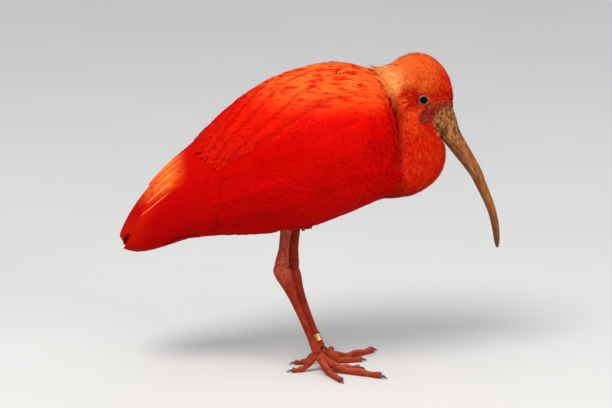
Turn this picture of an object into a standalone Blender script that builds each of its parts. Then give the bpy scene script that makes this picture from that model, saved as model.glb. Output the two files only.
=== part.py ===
"""A life-size scarlet ibis, standing with its neck drawn in and its bill held down.

Sizes below are in millimetres. X points the way the bird faces, Y to its left and Z up from the floor.
The feathered forms are lofts through a few cross-sections, and the bare legs, toes and claws are
tapered tubes. Each is then parted from its neighbours by a thin gap.
"""

import math

import bmesh
import bpy
from mathutils import Matrix, Vector

MM = 0.001
GAP = 0.3
WING_GAP = 0.5

# The outline of the feathered body with its wings folded, from the tail tips to the shoulders:
# x, height of the back, height of the belly, half width, squareness below the widest level
BODY = (
    (-184, 152, 129, 17, 2.6),
    (-170, 175, 125.5, 25, 2.7),
    (-154, 194, 127.5, 29, 2.8),
    (-137, 212, 132.5, 32, 2.8),
    (-121, 225, 138, 36, 2.7),
    (-105, 239, 140.5, 41, 2.6),
    (-82, 261.5, 142, 47, 2.4),
    (-58, 281.5, 143, 52, 2.3),
    (-34, 295.5, 143, 56, 2.2),
    (-10, 304.5, 145, 59, 2.2),
    (14, 311, 150, 60, 2.2),
    (38, 312, 159.5, 59, 2.2),
    (62, 307, 169.5, 55, 2.2),
    (78, 299, 174.5, 48, 2.2),
    (88, 281, 177, 39, 2.2),
    (94, 259, 183, 29, 2.2),
    (98, 238, 195, 16, 2.2),
)
BODY_TOP_SQUARENESS = 1.9

# Under the tail the trunk tapers away between the wings: x, top, bottom, half width
VENT = (
    (-152, 176, 152, 5),
    (-142, 187, 146, 11),
    (-128, 202, 143, 19),
    (-112, 220, 143, 30),
)
TRUNK_FROM = -100

# The edges of the folded wing, from the bend of the wing to its tip, as x and the angle round the
# body, where 90 is the middle of the back, 0 the side and -90 the middle of the belly
WING_UPPER_EDGE = ((84, 22), (70, 52), (45, 66), (10, 70), (-30, 70), (-75, 67), (-112, 60),
                   (-132, 44), (-150, 36), (-163, 25))
WING_LOWER_EDGE = ((86, -2), (76, -20), (48, -50), (8, -66), (-35, -72), (-80, -70), (-120, -62),
                   (-152, -57), (-178, -56))
WING_PROUD = 1.6
WING_THICK = 7.0
WING_RIM_THICK = 1.8

# The tail lies over the wing tips: x, height, half width, half thickness
TAIL = (
    (-98, 218, 11, 3.6),
    (-118, 209, 15, 3.6),
    (-137, 202, 19, 3.6),
    (-154, 185, 21, 3.3),
    (-168, 167, 21, 2.9),
    (-178, 151, 19.5, 2.2),
    (-184, 139, 15.5, 1.2),
)
TAIL_ARCH = 5.0

# The neck is folded into a column in front of the breast: height, back, front, half width
NECK = (
    (176.5, 74, 100, 14),
    (180, 62, 113, 23),
    (186, 58, 125, 30),
    (195, 56, 134.5, 35),
    (206, 56, 140.5, 36.5),
    (217, 58, 142.3, 34.5),
    (228, 61, 142, 31),
    (238, 67, 138, 27),
    (249, 75, 134, 23.5),
    (261, 83, 130, 20),
    (273, 90, 126, 16.5),
)
NECK_PARTED_AT = 224

# The head from the nape to the forehead: x, top, bottom, half width
HEAD = (
    (77, 297, 284, 4.5),
    (81, 304.5, 271, 11),
    (90, 312.5, 259, 16.5),
    (100, 317.8, 252, 19),
    (110, 320.3, 246, 19.4),
    (120, 319.7, 241, 18.4),
    (130, 314.8, 238, 16.6),
    (138, 307, 239, 13.2),
    (144, 297, 244, 10.2),
    (147.4, 286, 251, 7.5),
    (148.8, 276, 260, 4),
)

# The bill from its root in the head to its tip, as x, z and half depth of the whole bill, half
# width, and the share of the depth that belongs to the lower half
BILL = (
    (130.6, 267.5, 13.5, 7.6, 0.0),
    (135.0, 258.5, 13.3, 8.0, 0.02),
    (139.4, 248.8, 12.2, 8.2, 0.08),
    (145.0, 237.7, 10.0, 7.4, 0.20),
    (153.8, 224.1, 8.6, 6.2, 0.38),
    (163.0, 210.4, 7.3, 5.3, 0.42),
    (170.4, 198.6, 6.3, 4.7, 0.42),
    (175.8, 186.9, 5.5, 4.2, 0.42),
    (181.0, 175.1, 4.8, 3.8, 0.42),
    (186.0, 163.1, 4.4, 3.5, 0.42),
    (189.3, 152.2, 4.0, 3.2, 0.42),
    (191.9, 139.5, 3.6, 2.9, 0.42),
    (193.2, 127.6, 2.9, 2.5, 0.42),
    (193.7, 120.0, 1.3, 1.2, 0.42),
)

BILL_SIDES = 8

EYE_AT = (115.2, 17.4, 277.2)
EYE_RADIUS = 5.6
EYE_FLATNESS = 0.62

# Each leg has its knee inside the feathers, its heel, and the ball of its foot, as x, y, z, and
# the angle by which the foot is turned outward
LEGS = {
    "right": {"knee": (-20, -24, 166), "heel": (-26, -10, 104), "ball": (9.5, -19, 20), "turned": 0},
    "left": {"knee": (-8, 23, 160), "heel": (-14.2, 5.5, 98), "ball": (14.5, 4, 19), "turned": 6},
}
OUTWARD = {"right": -1, "left": 1}

# Half widths of the shin and of the long foot bone, front to back and across, from top to bottom
SHIN_RADII = ((0.0, 7.2, 6.2), (0.35, 5.6, 4.6), (0.65, 5.2, 4.2), (0.88, 7.0, 4.8), (1.0, 6.4, 4.2))
TARSUS_RADII = ((0.0, 3.8, 2.8), (0.03, 6.8, 4.8), (0.08, 8.4, 5.7), (0.15, 8.0, 5.3), (0.3, 5.2, 4.0),
                (0.5, 3.7, 3.2), (0.8, 3.4, 3.2), (0.93, 4.3, 4.4), (1.0, 4.8, 5.2))
HEEL_ABOVE = 7.0
BALL_RADII = (11.0, 10.4, 6.4)
BALL_OFFSET = (1.5, 0, -2.5)
BALL_TILT = 28

# Toes: bearing outward from straight ahead, further turn by the tip, length without the claw,
# radius at the root and end. Each toe gives way to those above it.
TOES = {
    "middle": (19, 15, 68, 3.7, 2.8),
    "inner": (-3, 8, 43, 3.2, 2.5),
    "outer": (56, 16, 46, 3.2, 2.5),
    "hind": (171, 4, 25, 2.8, 2.2),
}
TOE_LANDS_AT = {"middle": 31, "inner": 26, "outer": 25, "hind": 18}
TOE_SINK = 0.5
CLAW_LENGTH = {"middle": 9.0, "inner": 7.5, "outer": 7.5, "hind": 8.0}

# A plain identity ring, worn by the left leg
RING_SHARE = 0.87
RING_RADIUS = 5.4
RING_WALL = 0.7
RING_HEIGHT = 7.5

SCARLET = (0.80, 0.03, 0.012, 1)
LEG_PINK = (0.50, 0.07, 0.05, 1)
HORN_BROWN = (0.34, 0.16, 0.09, 1)
CLAW_DARK = (0.05, 0.03, 0.025, 1)
EYE_BLACK = (0.01, 0.01, 0.012, 1)
RING_GOLD = (0.62, 0.42, 0.12, 1)


def clear_scene():
    for obj in list(bpy.data.objects):
        bpy.data.objects.remove(obj)


def new_collection(name):
    collection = bpy.data.collections.new(name)
    bpy.context.scene.collection.children.link(collection)
    return collection


def new_material(name, colour, roughness, metallic=0.0):
    material = bpy.data.materials.new(name)
    material.use_nodes = True
    shader = material.node_tree.nodes["Principled BSDF"]
    shader.inputs["Base Color"].default_value = colour
    shader.inputs["Roughness"].default_value = roughness
    shader.inputs["Metallic"].default_value = metallic
    return material


def smooth_value(table, x):
    """The row of numbers at x, read from a smooth curve through the rows of the table."""
    keys = [row[0] for row in table]
    x = min(max(x, keys[0]), keys[-1])
    i = max(k for k in range(len(keys) - 1) if keys[k] <= x)
    before, first, second, after = (table[min(max(i + k, 0), len(table) - 1)] for k in (-1, 0, 1, 2))
    span = second[0] - first[0]
    t = (x - first[0]) / span
    found = []
    for a, b, c, d, in zip(before[1:], first[1:], second[1:], after[1:]):
        left = (c - a) / max(second[0] - before[0], 1e-6) * span
        right = (d - b) / max(after[0] - first[0], 1e-6) * span
        found.append(
            b * (2 * t**3 - 3 * t**2 + 1)
            + left * (t**3 - 2 * t**2 + t)
            + c * (3 * t**2 - 2 * t**3)
            + right * (t**3 - t**2)
        )
    return found


def even(low, high, count):
    return [low + (high - low) * k / (count - 1) for k in range(count)]


def rounded(value, power):
    return math.copysign(abs(value) ** power, value)


def ring(centre, side, up, half_width, half_up, half_down, count, top_square=2.0, low_square=2.0):
    """Points round one cross-section, a rounded shape that may differ above and below its middle."""
    points = []
    for k in range(count):
        angle = 2 * math.pi * k / count
        across, rise = math.cos(angle), math.sin(angle)
        square = top_square if rise >= 0 else low_square
        half = half_up if rise >= 0 else half_down
        points.append(
            Vector(centre)
            + Vector(side) * (half_width * rounded(across, 2 / square))
            + Vector(up) * (half * rounded(rise, 2 / square))
        )
    return points


def loft(name, rings, scale=MM):
    """One closed mesh through rings of equally many points, with a flat cap at each end."""
    mesh = bpy.data.meshes.new(name)
    shape = bmesh.new()
    rows = [[shape.verts.new(point * scale) for point in one] for one in rings]
    count = len(rows[0])
    for first, second in zip(rows, rows[1:]):
        for k in range(count):
            shape.faces.new((first[k], first[(k + 1) % count], second[(k + 1) % count], second[k]))
    shape.faces.new(rows[0])
    shape.faces.new(reversed(rows[-1]))
    bmesh.ops.recalc_face_normals(shape, faces=shape.faces)
    shape.to_mesh(mesh)
    shape.free()
    return bpy.data.objects.new(name, mesh)


def show(obj, material, collection):
    """Puts a finished piece in the model, shaded smooth but for its sharp rims."""
    obj.data.materials.clear()
    obj.data.materials.append(material)
    obj.data.shade_smooth()
    obj.data.set_sharp_from_angle(angle=math.radians(42))
    collection.objects.link(obj)
    return obj


def helper(obj):
    """Puts a cutter among the cutters, where it isn't rendered."""
    if obj.name not in cutters.objects:
        cutters.objects.link(obj)
    obj.hide_render = True
    obj.display_type = "WIRE"
    return obj


def swollen(obj, by=GAP):
    """A copy of a piece, larger by the gap all round, to cut the room that the piece needs."""
    copy = bpy.data.objects.new(obj.name + "_room", obj.data.copy())
    shape = bmesh.new()
    shape.from_mesh(copy.data)
    bmesh.ops.triangulate(shape, faces=shape.faces)
    shape.normal_update()
    moved = [vert.co + vert.normal * by * MM for vert in shape.verts]
    for vert, place in zip(shape.verts, moved):
        vert.co = place
    shape.to_mesh(copy.data)
    shape.free()
    copy.matrix_world = obj.matrix_world.copy()
    return helper(copy)


def with_modifiers_applied(obj):
    """Turns a piece's modifiers into plain mesh, in triangles so that its room swells evenly."""
    bpy.context.scene.collection.objects.link(obj)
    bpy.context.view_layer.update()
    mesh = bpy.data.meshes.new_from_object(obj.evaluated_get(bpy.context.evaluated_depsgraph_get()))
    shape = bmesh.new()
    shape.from_mesh(mesh)
    bmesh.ops.triangulate(shape, faces=shape.faces)
    shape.to_mesh(mesh)
    shape.free()
    obj.modifiers.clear()
    obj.vertex_groups.clear()
    obj.data = mesh
    bpy.context.scene.collection.objects.unlink(obj)
    return obj


def cut(obj, cutter):
    """Takes the cutter's room out of the piece."""
    modifier = obj.modifiers.new("cut", "BOOLEAN")
    modifier.object = helper(cutter)
    return with_modifiers_applied(obj)


def body_section(x, grow=0.0):
    """Middle height, half height, half width and lower squareness of the body at x."""
    top, bottom, half_width, square = smooth_value(BODY, x)
    return (top + bottom) / 2, (top - bottom) / 2 + grow, half_width + grow, square


def on_body(x, degrees, grow=0.0):
    """The point on the body's surface at x, at an angle round it, on the left side."""
    middle, half_height, half_width, square = body_section(x, grow)
    across, rise = math.cos(math.radians(degrees)), math.sin(math.radians(degrees))
    power = 2 / (BODY_TOP_SQUARENESS if rise >= 0 else square)
    return Vector((x, half_width * abs(across) ** power, middle + half_height * rounded(rise, power)))


def trunk_rings():
    found = []
    for x in even(VENT[0][0], VENT[-1][0], 4):
        top, bottom, half_width = smooth_value(VENT, x)
        found.append(((x, 0, (top + bottom) / 2), half_width, (top - bottom) / 2, 2.2))
    for x in even(TRUNK_FROM, 62, 10) + [72, 80, 87, 92, 95.5, 98]:
        middle, half_height, half_width, square = body_section(x)
        found.append(((x, 0, middle), half_width, half_height, square))
    return [
        ring(centre, (0, 1, 0), (0, 0, 1), wide, high, high, 24, BODY_TOP_SQUARENESS, square)
        for centre, wide, high, square in found
    ]


def edge_point(edge, share):
    """x and angle at a share of the way along a wing edge, by a smooth curve."""
    table = [(k / (len(edge) - 1), *point) for k, point in enumerate(edge)]
    return smooth_value(table, share)


def wing_shell(name, along=15, across=8):
    """A curved slab that follows the body between the wing's two edges, thin along its rim."""
    mesh = bpy.data.meshes.new(name)
    shape = bmesh.new()
    rows, thin, thick = [], [], []
    for i, share in enumerate(even(0, 1, along)):
        x_high, high = edge_point(WING_UPPER_EDGE, share)
        x_low, low = edge_point(WING_LOWER_EDGE, share)
        row = []
        for j, t in enumerate(even(0, 1, across)):
            place = on_body(x_high + (x_low - x_high) * t, high + (low - high) * t, WING_PROUD)
            on_rim = min(i, along - 1 - i, j, across - 1 - j) == 0
            (thin if on_rim else thick).append(len(rows) * across + j)
            row.append(shape.verts.new(place * MM))
        rows.append(row)
    for first, second in zip(rows, rows[1:]):
        for j in range(across - 1):
            shape.faces.new((first[j], first[j + 1], second[j + 1], second[j]))
    shape.to_mesh(mesh)
    shape.free()
    wing = bpy.data.objects.new(name, mesh)
    depth = wing.vertex_groups.new(name="depth")
    depth.add(thick, 1.0, "REPLACE")
    depth.add(thin, WING_RIM_THICK / WING_THICK, "REPLACE")
    slab = wing.modifiers.new("slab", "SOLIDIFY")
    slab.thickness = WING_THICK * MM
    slab.vertex_group = depth.name
    slab.offset = -1
    return with_modifiers_applied(wing)


def mirrored(obj, name):
    """The same piece on the right side."""
    mesh = obj.data.copy()
    mesh.transform(Matrix.Diagonal((1, -1, 1, 1)))
    mesh.flip_normals()
    return bpy.data.objects.new(name, mesh)


def tail_rings():
    """Sections square to the tail's own line, arched from side to side."""
    rings = []
    for x in [TAIL[-1][0] + 0.0, -182.5, -180, -175, -167, -158, -148, -137, -124, -110, -98]:
        z, wide, thick = smooth_value(TAIL[::-1], x)
        ahead = smooth_value(TAIL[::-1], x + 1.5)[0]
        behind = smooth_value(TAIL[::-1], x - 1.5)[0]
        run = 3.0 if TAIL[-1][0] + 1.5 < x < TAIL[0][0] - 1.5 else 1.5
        along = Vector((run, 0, ahead - behind)).normalized()
        up = Vector((-along.z, 0, along.x))
        points = ring((x, 0, z), (0, 1, 0), up, wide, thick, thick, 16, 3.0, 3.0)
        rings.append([point - up * TAIL_ARCH * (point.y / TAIL[3][2]) ** 2 for point in points])
    return rings


def neck_rings(low, high, count):
    rings = []
    for z in even(low, high, count):
        back, front, half_width = smooth_value(NECK, z)
        rings.append(ring(((back + front) / 2, 0, z), (0, -1, 0), (1, 0, 0), half_width, (front - back) / 2,
                          (front - back) / 2, 18, 2.1, 2.1))
    return rings


def head_rings():
    rings = []
    for x in [77, 78.5, 81, 85] + even(90, 138, 7) + [142, 145, 147.3, 148.8]:
        top, bottom, half_width = smooth_value(HEAD, x)
        half = (top - bottom) / 2
        rings.append(ring((x, 0, bottom + half), (0, 1, 0), (0, 0, 1), half_width, half, half, 18, 2.1, 2.3))
    return rings


def bill_frame(share):
    """Centre, direction across the depth, half depth, half width and lower share along the bill."""
    table = [(k / (len(BILL) - 1), *row) for k, row in enumerate(BILL)]
    x, z, depth, wide, lower = smooth_value(table, share)
    after = smooth_value(table, min(share + 0.02, 1))
    before = smooth_value(table, max(share - 0.02, 0))
    along = Vector((after[0] - before[0], 0, after[1] - before[1])).normalized()
    return Vector((x, 0, z)), Vector((-along.z, 0, along.x)), depth, wide, lower


def bill_half(name, upper, start):
    """One half of the bill: a rounded section cut flat along the line where the halves meet."""
    rings = []
    for share in even(start, 1.0, 18 if upper else 15):
        centre, up, depth, wide, lower = bill_frame(share)
        meet = centre + up * (depth * (2 * lower - 1))
        if upper:
            meet += up * GAP / 2
            reach = depth * 2 * (1 - lower) - GAP / 2
        else:
            meet -= up * GAP / 2
            reach = -max(depth * 2 * lower - GAP / 2, 0.4)
        level = 2 * lower - 1
        wide_here = max(wide * math.sqrt(1 - (0.55 * level) ** 2), 0.5)
        points = []
        for k in range(BILL_SIDES + 1):
            angle = math.pi * k / BILL_SIDES
            points.append(meet + Vector((0, wide_here * math.cos(angle), 0))
                          + up * (reach * rounded(math.sin(angle), 0.92)))
        rings.append(points)
    return loft(name, rings)


def limb(name, top, bottom, radii, count, sides=10):
    """A straight part of the leg with an oval section, deepest front to back."""
    top, bottom = Vector(top), Vector(bottom)
    along = (bottom - top).normalized()
    side = Vector((0, 1, 0)) - along * along.y
    side.normalize()
    front = side.cross(along)
    rings = []
    for share in sorted({*even(0, 1, count), radii[1][0]}):
        deep, wide = smooth_value(radii, share)
        rings.append(ring(top.lerp(bottom, share), side, front, wide, deep, deep, sides))
    return loft(name, rings)


def tube(name, points, radii, sides=10):
    """A tapered round tube: a curve with a bevel, turned into a mesh with its caps welded on."""
    curve = bpy.data.curves.new(name, "CURVE")
    curve.dimensions = "3D"
    curve.bevel_depth = MM
    curve.bevel_resolution = (sides - 4) // 2
    curve.use_fill_caps = True
    spline = curve.splines.new("POLY")
    spline.points.add(len(points) - 1)
    for spot, place, radius in zip(spline.points, points, radii):
        spot.co = (*(place * MM), 1)
        spot.radius = radius
    made = bpy.data.objects.new(name + "_curve", curve)
    bpy.context.scene.collection.objects.link(made)
    bpy.context.view_layer.update()
    mesh = bpy.data.meshes.new_from_object(made.evaluated_get(bpy.context.evaluated_depsgraph_get()))
    mesh.transform(made.matrix_world)
    bpy.data.objects.remove(made)
    shape = bmesh.new()
    shape.from_mesh(mesh)
    bmesh.ops.remove_doubles(shape, verts=shape.verts, dist=1e-6)
    bmesh.ops.recalc_face_normals(shape, faces=shape.faces)
    shape.to_mesh(mesh)
    shape.free()
    return bpy.data.objects.new(name, mesh)


def toe_point(side, kind, reach, radius):
    """A point on a toe's line: it slopes down from the ball of the foot and then lies on the floor."""
    bearing, turn, length, _, _ = TOES[kind]
    lands = TOE_LANDS_AT[kind]
    ball = Vector(LEGS[side]["ball"])
    angle = OUTWARD[side] * math.radians(LEGS[side]["turned"] + bearing + turn * reach / length / 2)
    fall = max(1 - reach / lands, 0)
    floor = radius - TOE_SINK
    height = floor + (ball.z - 2 - floor) * fall**1.6
    return Vector((ball.x + reach * math.cos(angle), ball.y + reach * math.sin(angle), height))


def toe(name, side, kind):
    """A toe with a swelling at each joint."""
    _, _, length, root, end = TOES[kind]
    points, radii = [], []
    for reach in even(4.0, length, 8):
        share = reach / length
        radius = root + (end - root) * share + 0.22 * math.cos(share * 2 * math.pi * 3)
        points.append(toe_point(side, kind, reach, radius))
        radii.append(radius)
    return tube(name, points, radii, 8)


def claw(name, side, kind):
    """A curved claw that begins inside the end of its toe and comes down to the floor."""
    bearing, turn, length, _, end = TOES[kind]
    angle = OUTWARD[side] * math.radians(LEGS[side]["turned"] + bearing + turn)
    heading = Vector((math.cos(angle), math.sin(angle), 0))
    start = toe_point(side, kind, length - 1.2, end)
    points, radii = [], []
    for share in even(0, 1, 5):
        rise = 0.9 * math.sin(share * math.pi * 0.9) - (start.z - 0.6) * share**2
        points.append(start + heading * (CLAW_LENGTH[kind] * share) + Vector((0, 0, rise)))
        radii.append(0.35 + (end * 0.72 - 0.35) * (1 - share) ** 0.8)
    return tube(name, points, radii, 6)


def floor_cutter():
    """Everything below the floor, which leaves small flats under the toes."""
    shape = bmesh.new()
    bmesh.ops.create_cube(shape, size=1, matrix=Matrix.Translation((0, 0, -0.05)) @ Matrix.Diagonal((1, 1, 0.1, 1)))
    mesh = bpy.data.meshes.new("below_floor")
    shape.to_mesh(mesh)
    shape.free()
    return bpy.data.objects.new("below_floor", mesh)


def ellipsoid(name, radii, place, segments, rows):
    shape = bmesh.new()
    bmesh.ops.create_uvsphere(shape, u_segments=segments, v_segments=rows, radius=MM)
    bmesh.ops.transform(shape, verts=shape.verts, matrix=place @ Matrix.Diagonal((*radii, 1)))
    mesh = bpy.data.meshes.new(name)
    shape.to_mesh(mesh)
    shape.free()
    return bpy.data.objects.new(name, mesh)


def make_ball(name, at):
    """The ball of the foot, where the toes spread."""
    place = Matrix.Translation((at + Vector(BALL_OFFSET)) * MM)
    return ellipsoid(name, BALL_RADII, place @ Matrix.Rotation(math.radians(BALL_TILT), 4, "Y"), 14, 8)


def make_leg(side, below):
    """One leg from the feathers down: shin, long foot bone, ball of the foot, toes and claws."""
    knee, heel, ball_centre = (Vector(LEGS[side][spot]) for spot in ("knee", "heel", "ball"))
    shin = limb(f"shin_{side}", knee, heel, SHIN_RADII, 7)
    rise = (heel - ball_centre).normalized() * HEEL_ABOVE
    tarsus = limb(f"tarsus_{side}", heel + rise, ball_centre, TARSUS_RADII, 12)
    ball = make_ball(f"foot_{side}", ball_centre)
    cut(shin, swollen(tarsus))
    cut(tarsus, swollen(ball))
    cut(ball, below)
    rooms = [below, swollen(ball)]
    digits = []
    for kind in TOES:
        digit = toe(f"toe_{kind}_{side}", side, kind)
        nail = claw(f"claw_{kind}_{side}", side, kind)
        room = swollen(digit)
        for earlier in rooms:
            cut(digit, earlier)
        for earlier in (below, room):
            cut(nail, earlier)
        rooms.append(room)
        digits.append((digit, nail))
    return shin, tarsus, ball, digits


def make_eye(name, side_sign):
    x, y, z = EYE_AT
    place = Matrix.Translation(Vector((x, y * side_sign, z)) * MM)
    return ellipsoid(name, (EYE_RADIUS, EYE_RADIUS * EYE_FLATNESS, EYE_RADIUS), place, 12, 8)


def make_ring(name, top, bottom):
    """An open band round the long foot bone, turned from a square profile."""
    centre = top.lerp(bottom, RING_SHARE)
    profile = bpy.data.meshes.new(name)
    half, inner = RING_HEIGHT / 2, RING_RADIUS - RING_WALL
    corners = [(RING_RADIUS, half), (RING_RADIUS, -half), (inner, -half), (inner, half)]
    profile.from_pydata([(x * MM, 0, z * MM) for x, z in corners], [(0, 1), (1, 2), (2, 3), (3, 0)], [])
    band = bpy.data.objects.new(name, profile)
    turn = band.modifiers.new("turn", "SCREW")
    turn.steps = turn.render_steps = 16
    turn.use_merge_vertices = True
    turn.merge_threshold = 0.00001
    tilt = (top - bottom).to_track_quat("Z", "Y").to_matrix().to_4x4()
    band.matrix_world = Matrix.Translation(centre * MM) @ tilt
    return band


def settle(objects):
    """Moves the finished model so that its origin is on the floor under the middle of its own box."""
    corners = [obj.matrix_world @ vert.co for obj in objects for vert in obj.data.vertices]
    shift = [-(min(point[k] for point in corners) + max(point[k] for point in corners)) / 2 for k in (0, 1)]
    for obj in objects:
        obj.matrix_world = Matrix.Translation((*shift, 0)) @ obj.matrix_world


clear_scene()
ibis = new_collection("scarlet_ibis")
cutters = new_collection("cutters")

plumage = new_material("plumage", SCARLET, 0.7)
bare_skin = new_material("bare_skin", LEG_PINK, 0.55)
horn = new_material("horn", HORN_BROWN, 0.45)
claw_horn = new_material("claw_horn", CLAW_DARK, 0.4)
eye_wet = new_material("eye", EYE_BLACK, 0.05)
ring_metal = new_material("ring_metal", RING_GOLD, 0.35, 1.0)

# The bill, with its halves meeting along the gape
bill_upper = bill_half("bill_upper", True, 0.0)
bill_lower = bill_half("bill_lower", False, 0.16)

# The head gives way to the bill and the eyes, and the neck to the head
head = loft("head", head_rings())
eyes = [make_eye("eye_left", 1), make_eye("eye_right", -1)]
for piece in (bill_upper, bill_lower, *eyes):
    cut(head, swollen(piece))
neck_lower = loft("neck_lower", neck_rings(NECK[0][0], NECK_PARTED_AT - GAP / 2, 8))
neck_upper = loft("neck_upper", neck_rings(NECK_PARTED_AT + GAP / 2, NECK[-1][0], 7))
head_whole = loft("head_whole", head_rings())
front_room = [swollen(piece) for piece in (neck_lower, neck_upper, head_whole)]
for room in (front_room[-1], swollen(bill_upper), swollen(bill_lower)):
    cut(neck_upper, room)

# The wings give way to the tops of the legs and to the tail, and the trunk to all that lies on it
below = floor_cutter()
legs = {side: make_leg(side, below) for side in LEGS}
leg_room = {side: swollen(leg[0]) for side, leg in legs.items()}
tail = loft("tail", tail_rings())
wing_left = wing_shell("wing_left")
wing_right = mirrored(wing_left, "wing_right")
for wing, side in ((wing_left, "left"), (wing_right, "right")):
    cut(wing, leg_room[side])
    cut(wing, swollen(tail))
trunk = loft("trunk", trunk_rings())
wing_room = [swollen(wing, WING_GAP) for wing in (wing_left, wing_right)]
for room in (*front_room, *leg_room.values(), swollen(tail), *wing_room):
    cut(trunk, room)
leg_ring = make_ring("leg_ring", Vector(LEGS["left"]["heel"]), Vector(LEGS["left"]["ball"]))

pieces = [show(obj, plumage, ibis) for obj in (head, neck_upper, neck_lower, trunk, wing_left, wing_right, tail)]
pieces += [show(obj, horn, ibis) for obj in (bill_upper, bill_lower)]
pieces += [show(obj, eye_wet, ibis) for obj in eyes]
for shin, tarsus, ball, digits in legs.values():
    pieces += [show(obj, bare_skin, ibis) for obj in (shin, tarsus, ball)]
    for digit, nail in digits:
        pieces += [show(digit, bare_skin, ibis), show(nail, claw_horn, ibis)]
pieces.append(show(leg_ring, ring_metal, ibis))
settle(pieces)
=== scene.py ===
"""The looks of the scarlet ibis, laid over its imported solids.

Places and sizes are given in the part's own drawing millimetres and turned into metres once. A skin
replaces the solids of flesh and lies inside them by the depth of the coat. The feathers are solid
mesh, laid along the body in pieces by region.
"""

import math

import bmesh
import bpy
import numpy as np
from mathutils import Matrix, Vector
from mathutils.bvhtree import BVHTree


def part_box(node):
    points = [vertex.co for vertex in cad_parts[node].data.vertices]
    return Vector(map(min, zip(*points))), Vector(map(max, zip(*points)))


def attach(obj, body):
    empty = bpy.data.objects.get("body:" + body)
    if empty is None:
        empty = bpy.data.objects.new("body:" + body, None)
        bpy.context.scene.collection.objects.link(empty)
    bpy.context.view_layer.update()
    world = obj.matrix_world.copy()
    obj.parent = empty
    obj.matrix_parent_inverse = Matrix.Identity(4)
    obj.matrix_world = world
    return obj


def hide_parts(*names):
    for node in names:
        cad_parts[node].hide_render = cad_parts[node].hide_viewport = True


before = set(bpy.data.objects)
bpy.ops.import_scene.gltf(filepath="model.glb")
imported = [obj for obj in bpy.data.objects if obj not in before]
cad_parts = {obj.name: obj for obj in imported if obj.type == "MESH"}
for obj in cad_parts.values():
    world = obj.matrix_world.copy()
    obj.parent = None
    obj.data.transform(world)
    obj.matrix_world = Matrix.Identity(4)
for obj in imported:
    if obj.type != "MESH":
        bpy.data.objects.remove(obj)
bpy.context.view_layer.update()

MM = 0.001
BILL_TIP_X = 193.7
# How far the drawing's origin lies from the model's own: the head is even about the drawing's middle
SHIFT = np.array([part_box("bill_upper")[1].x - BILL_TIP_X * MM, sum(c.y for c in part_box("head")) / 2, 0.0])

# The outline of the body with its wings folded: x, back, belly, half width, lower squareness
BODY = np.array((
    (-184, 152, 129, 17, 2.6),
    (-170, 175, 125.5, 25, 2.7),
    (-154, 194, 127.5, 29, 2.8),
    (-137, 212, 132.5, 32, 2.8),
    (-121, 225, 138, 36, 2.7),
    (-105, 239, 140.5, 41, 2.6),
    (-82, 261.5, 142, 47, 2.4),
    (-58, 281.5, 143, 52, 2.3),
    (-34, 295.5, 143, 56, 2.2),
    (-10, 304.5, 145, 59, 2.2),
    (14, 311, 150, 60, 2.2),
    (38, 312, 159.5, 59, 2.2),
    (62, 307, 169.5, 55, 2.2),
    (78, 299, 174.5, 48, 2.2),
    (88, 281, 177, 39, 2.2),
    (98, 238, 195, 16, 2.2),
))
BODY_TOP_SQUARENESS = 1.9

# Where the neck's plumes end on the shoulder: height and x
CREASE = np.array(((170, 66), (183, 88), (195, 95), (238, 95), (259, 91), (281, 85), (299, 77), (312, 72)))

# The tail: x, height, half width, half thickness
TAIL = np.array((
    (-184, 139, 15.5, 1.2),
    (-178, 151, 19.5, 2.2),
    (-168, 167, 21, 2.9),
    (-154, 185, 21, 3.3),
    (-137, 202, 19, 3.6),
    (-118, 209, 15, 3.6),
    (-98, 218, 11, 3.6),
))
TAIL_ARCH = 5.0 / 21**2

# Rows of coverts over the long feathers' roots: row, x of the roots, x of the tips and width
COVERT_ROWS = (("great", -62, -122, 21), ("middle", -42, -98, 20), ("small", -20, -75, 18))
# The folded wing's long feathers from the innermost outwards: root x and angle, tip x and angle, width
QUILLS = (
    (-40, 88, -157, 87, 32), (-42, 76, -149, 80, 27), (-46, 64, -151, 68, 26), (-48, 52, -154, 56, 24),
    (-46, 39, -160, 43, 23), (-45, 27, -166, 29, 22), (-45, 15, -172, 15, 21), (-46, 4, -176, 3, 20),
    (-48, -6, -179, -9, 20), (-52, -16, -181, -20, 19), (-58, -26, -182, -31, 19), (-64, -36, -183, -41, 18),
    (-72, -46, -183, -50, 17), (-84, -56, -183, -57, 15),
)

# The bill: x, z, half depth, half width, share of the lower half
BILL = np.array((
    (130.6, 267.5, 13.5, 7.6, 0.0),
    (135.0, 258.5, 13.3, 8.0, 0.02),
    (139.4, 248.8, 12.2, 8.2, 0.08),
    (145.0, 237.7, 10.0, 7.4, 0.20),
    (153.8, 224.1, 8.6, 6.2, 0.38),
    (163.0, 210.4, 7.3, 5.3, 0.42),
    (170.4, 198.6, 6.3, 4.7, 0.42),
    (175.8, 186.9, 5.5, 4.2, 0.42),
    (181.0, 175.1, 4.8, 3.8, 0.42),
    (186.0, 163.1, 4.4, 3.5, 0.42),
    (189.3, 152.2, 4.0, 3.2, 0.42),
    (191.9, 139.5, 3.6, 2.9, 0.42),
    (193.2, 127.6, 2.9, 2.5, 0.42),
    (193.7, 120.0, 1.3, 1.2, 0.42),
))
GAPE_FROM = 0.16

EYE = (115.2, 17.4, 277.2)
EYE_RADIUS = 5.6
EYE_FLATNESS = 0.62
LID_RADIUS = 4.1
LID_CLEARANCE = 1.7

LEGS = {
    "right": {"knee": (-20, -24, 166), "heel": (-26, -10, 104), "ball": (9.5, -19, 20), "turned": 0},
    "left": {"knee": (-8, 23, 160), "heel": (-14.2, 5.5, 98), "ball": (14.5, 4, 19), "turned": 6},
}
OUTWARD = {"right": -1, "left": 1}

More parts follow.
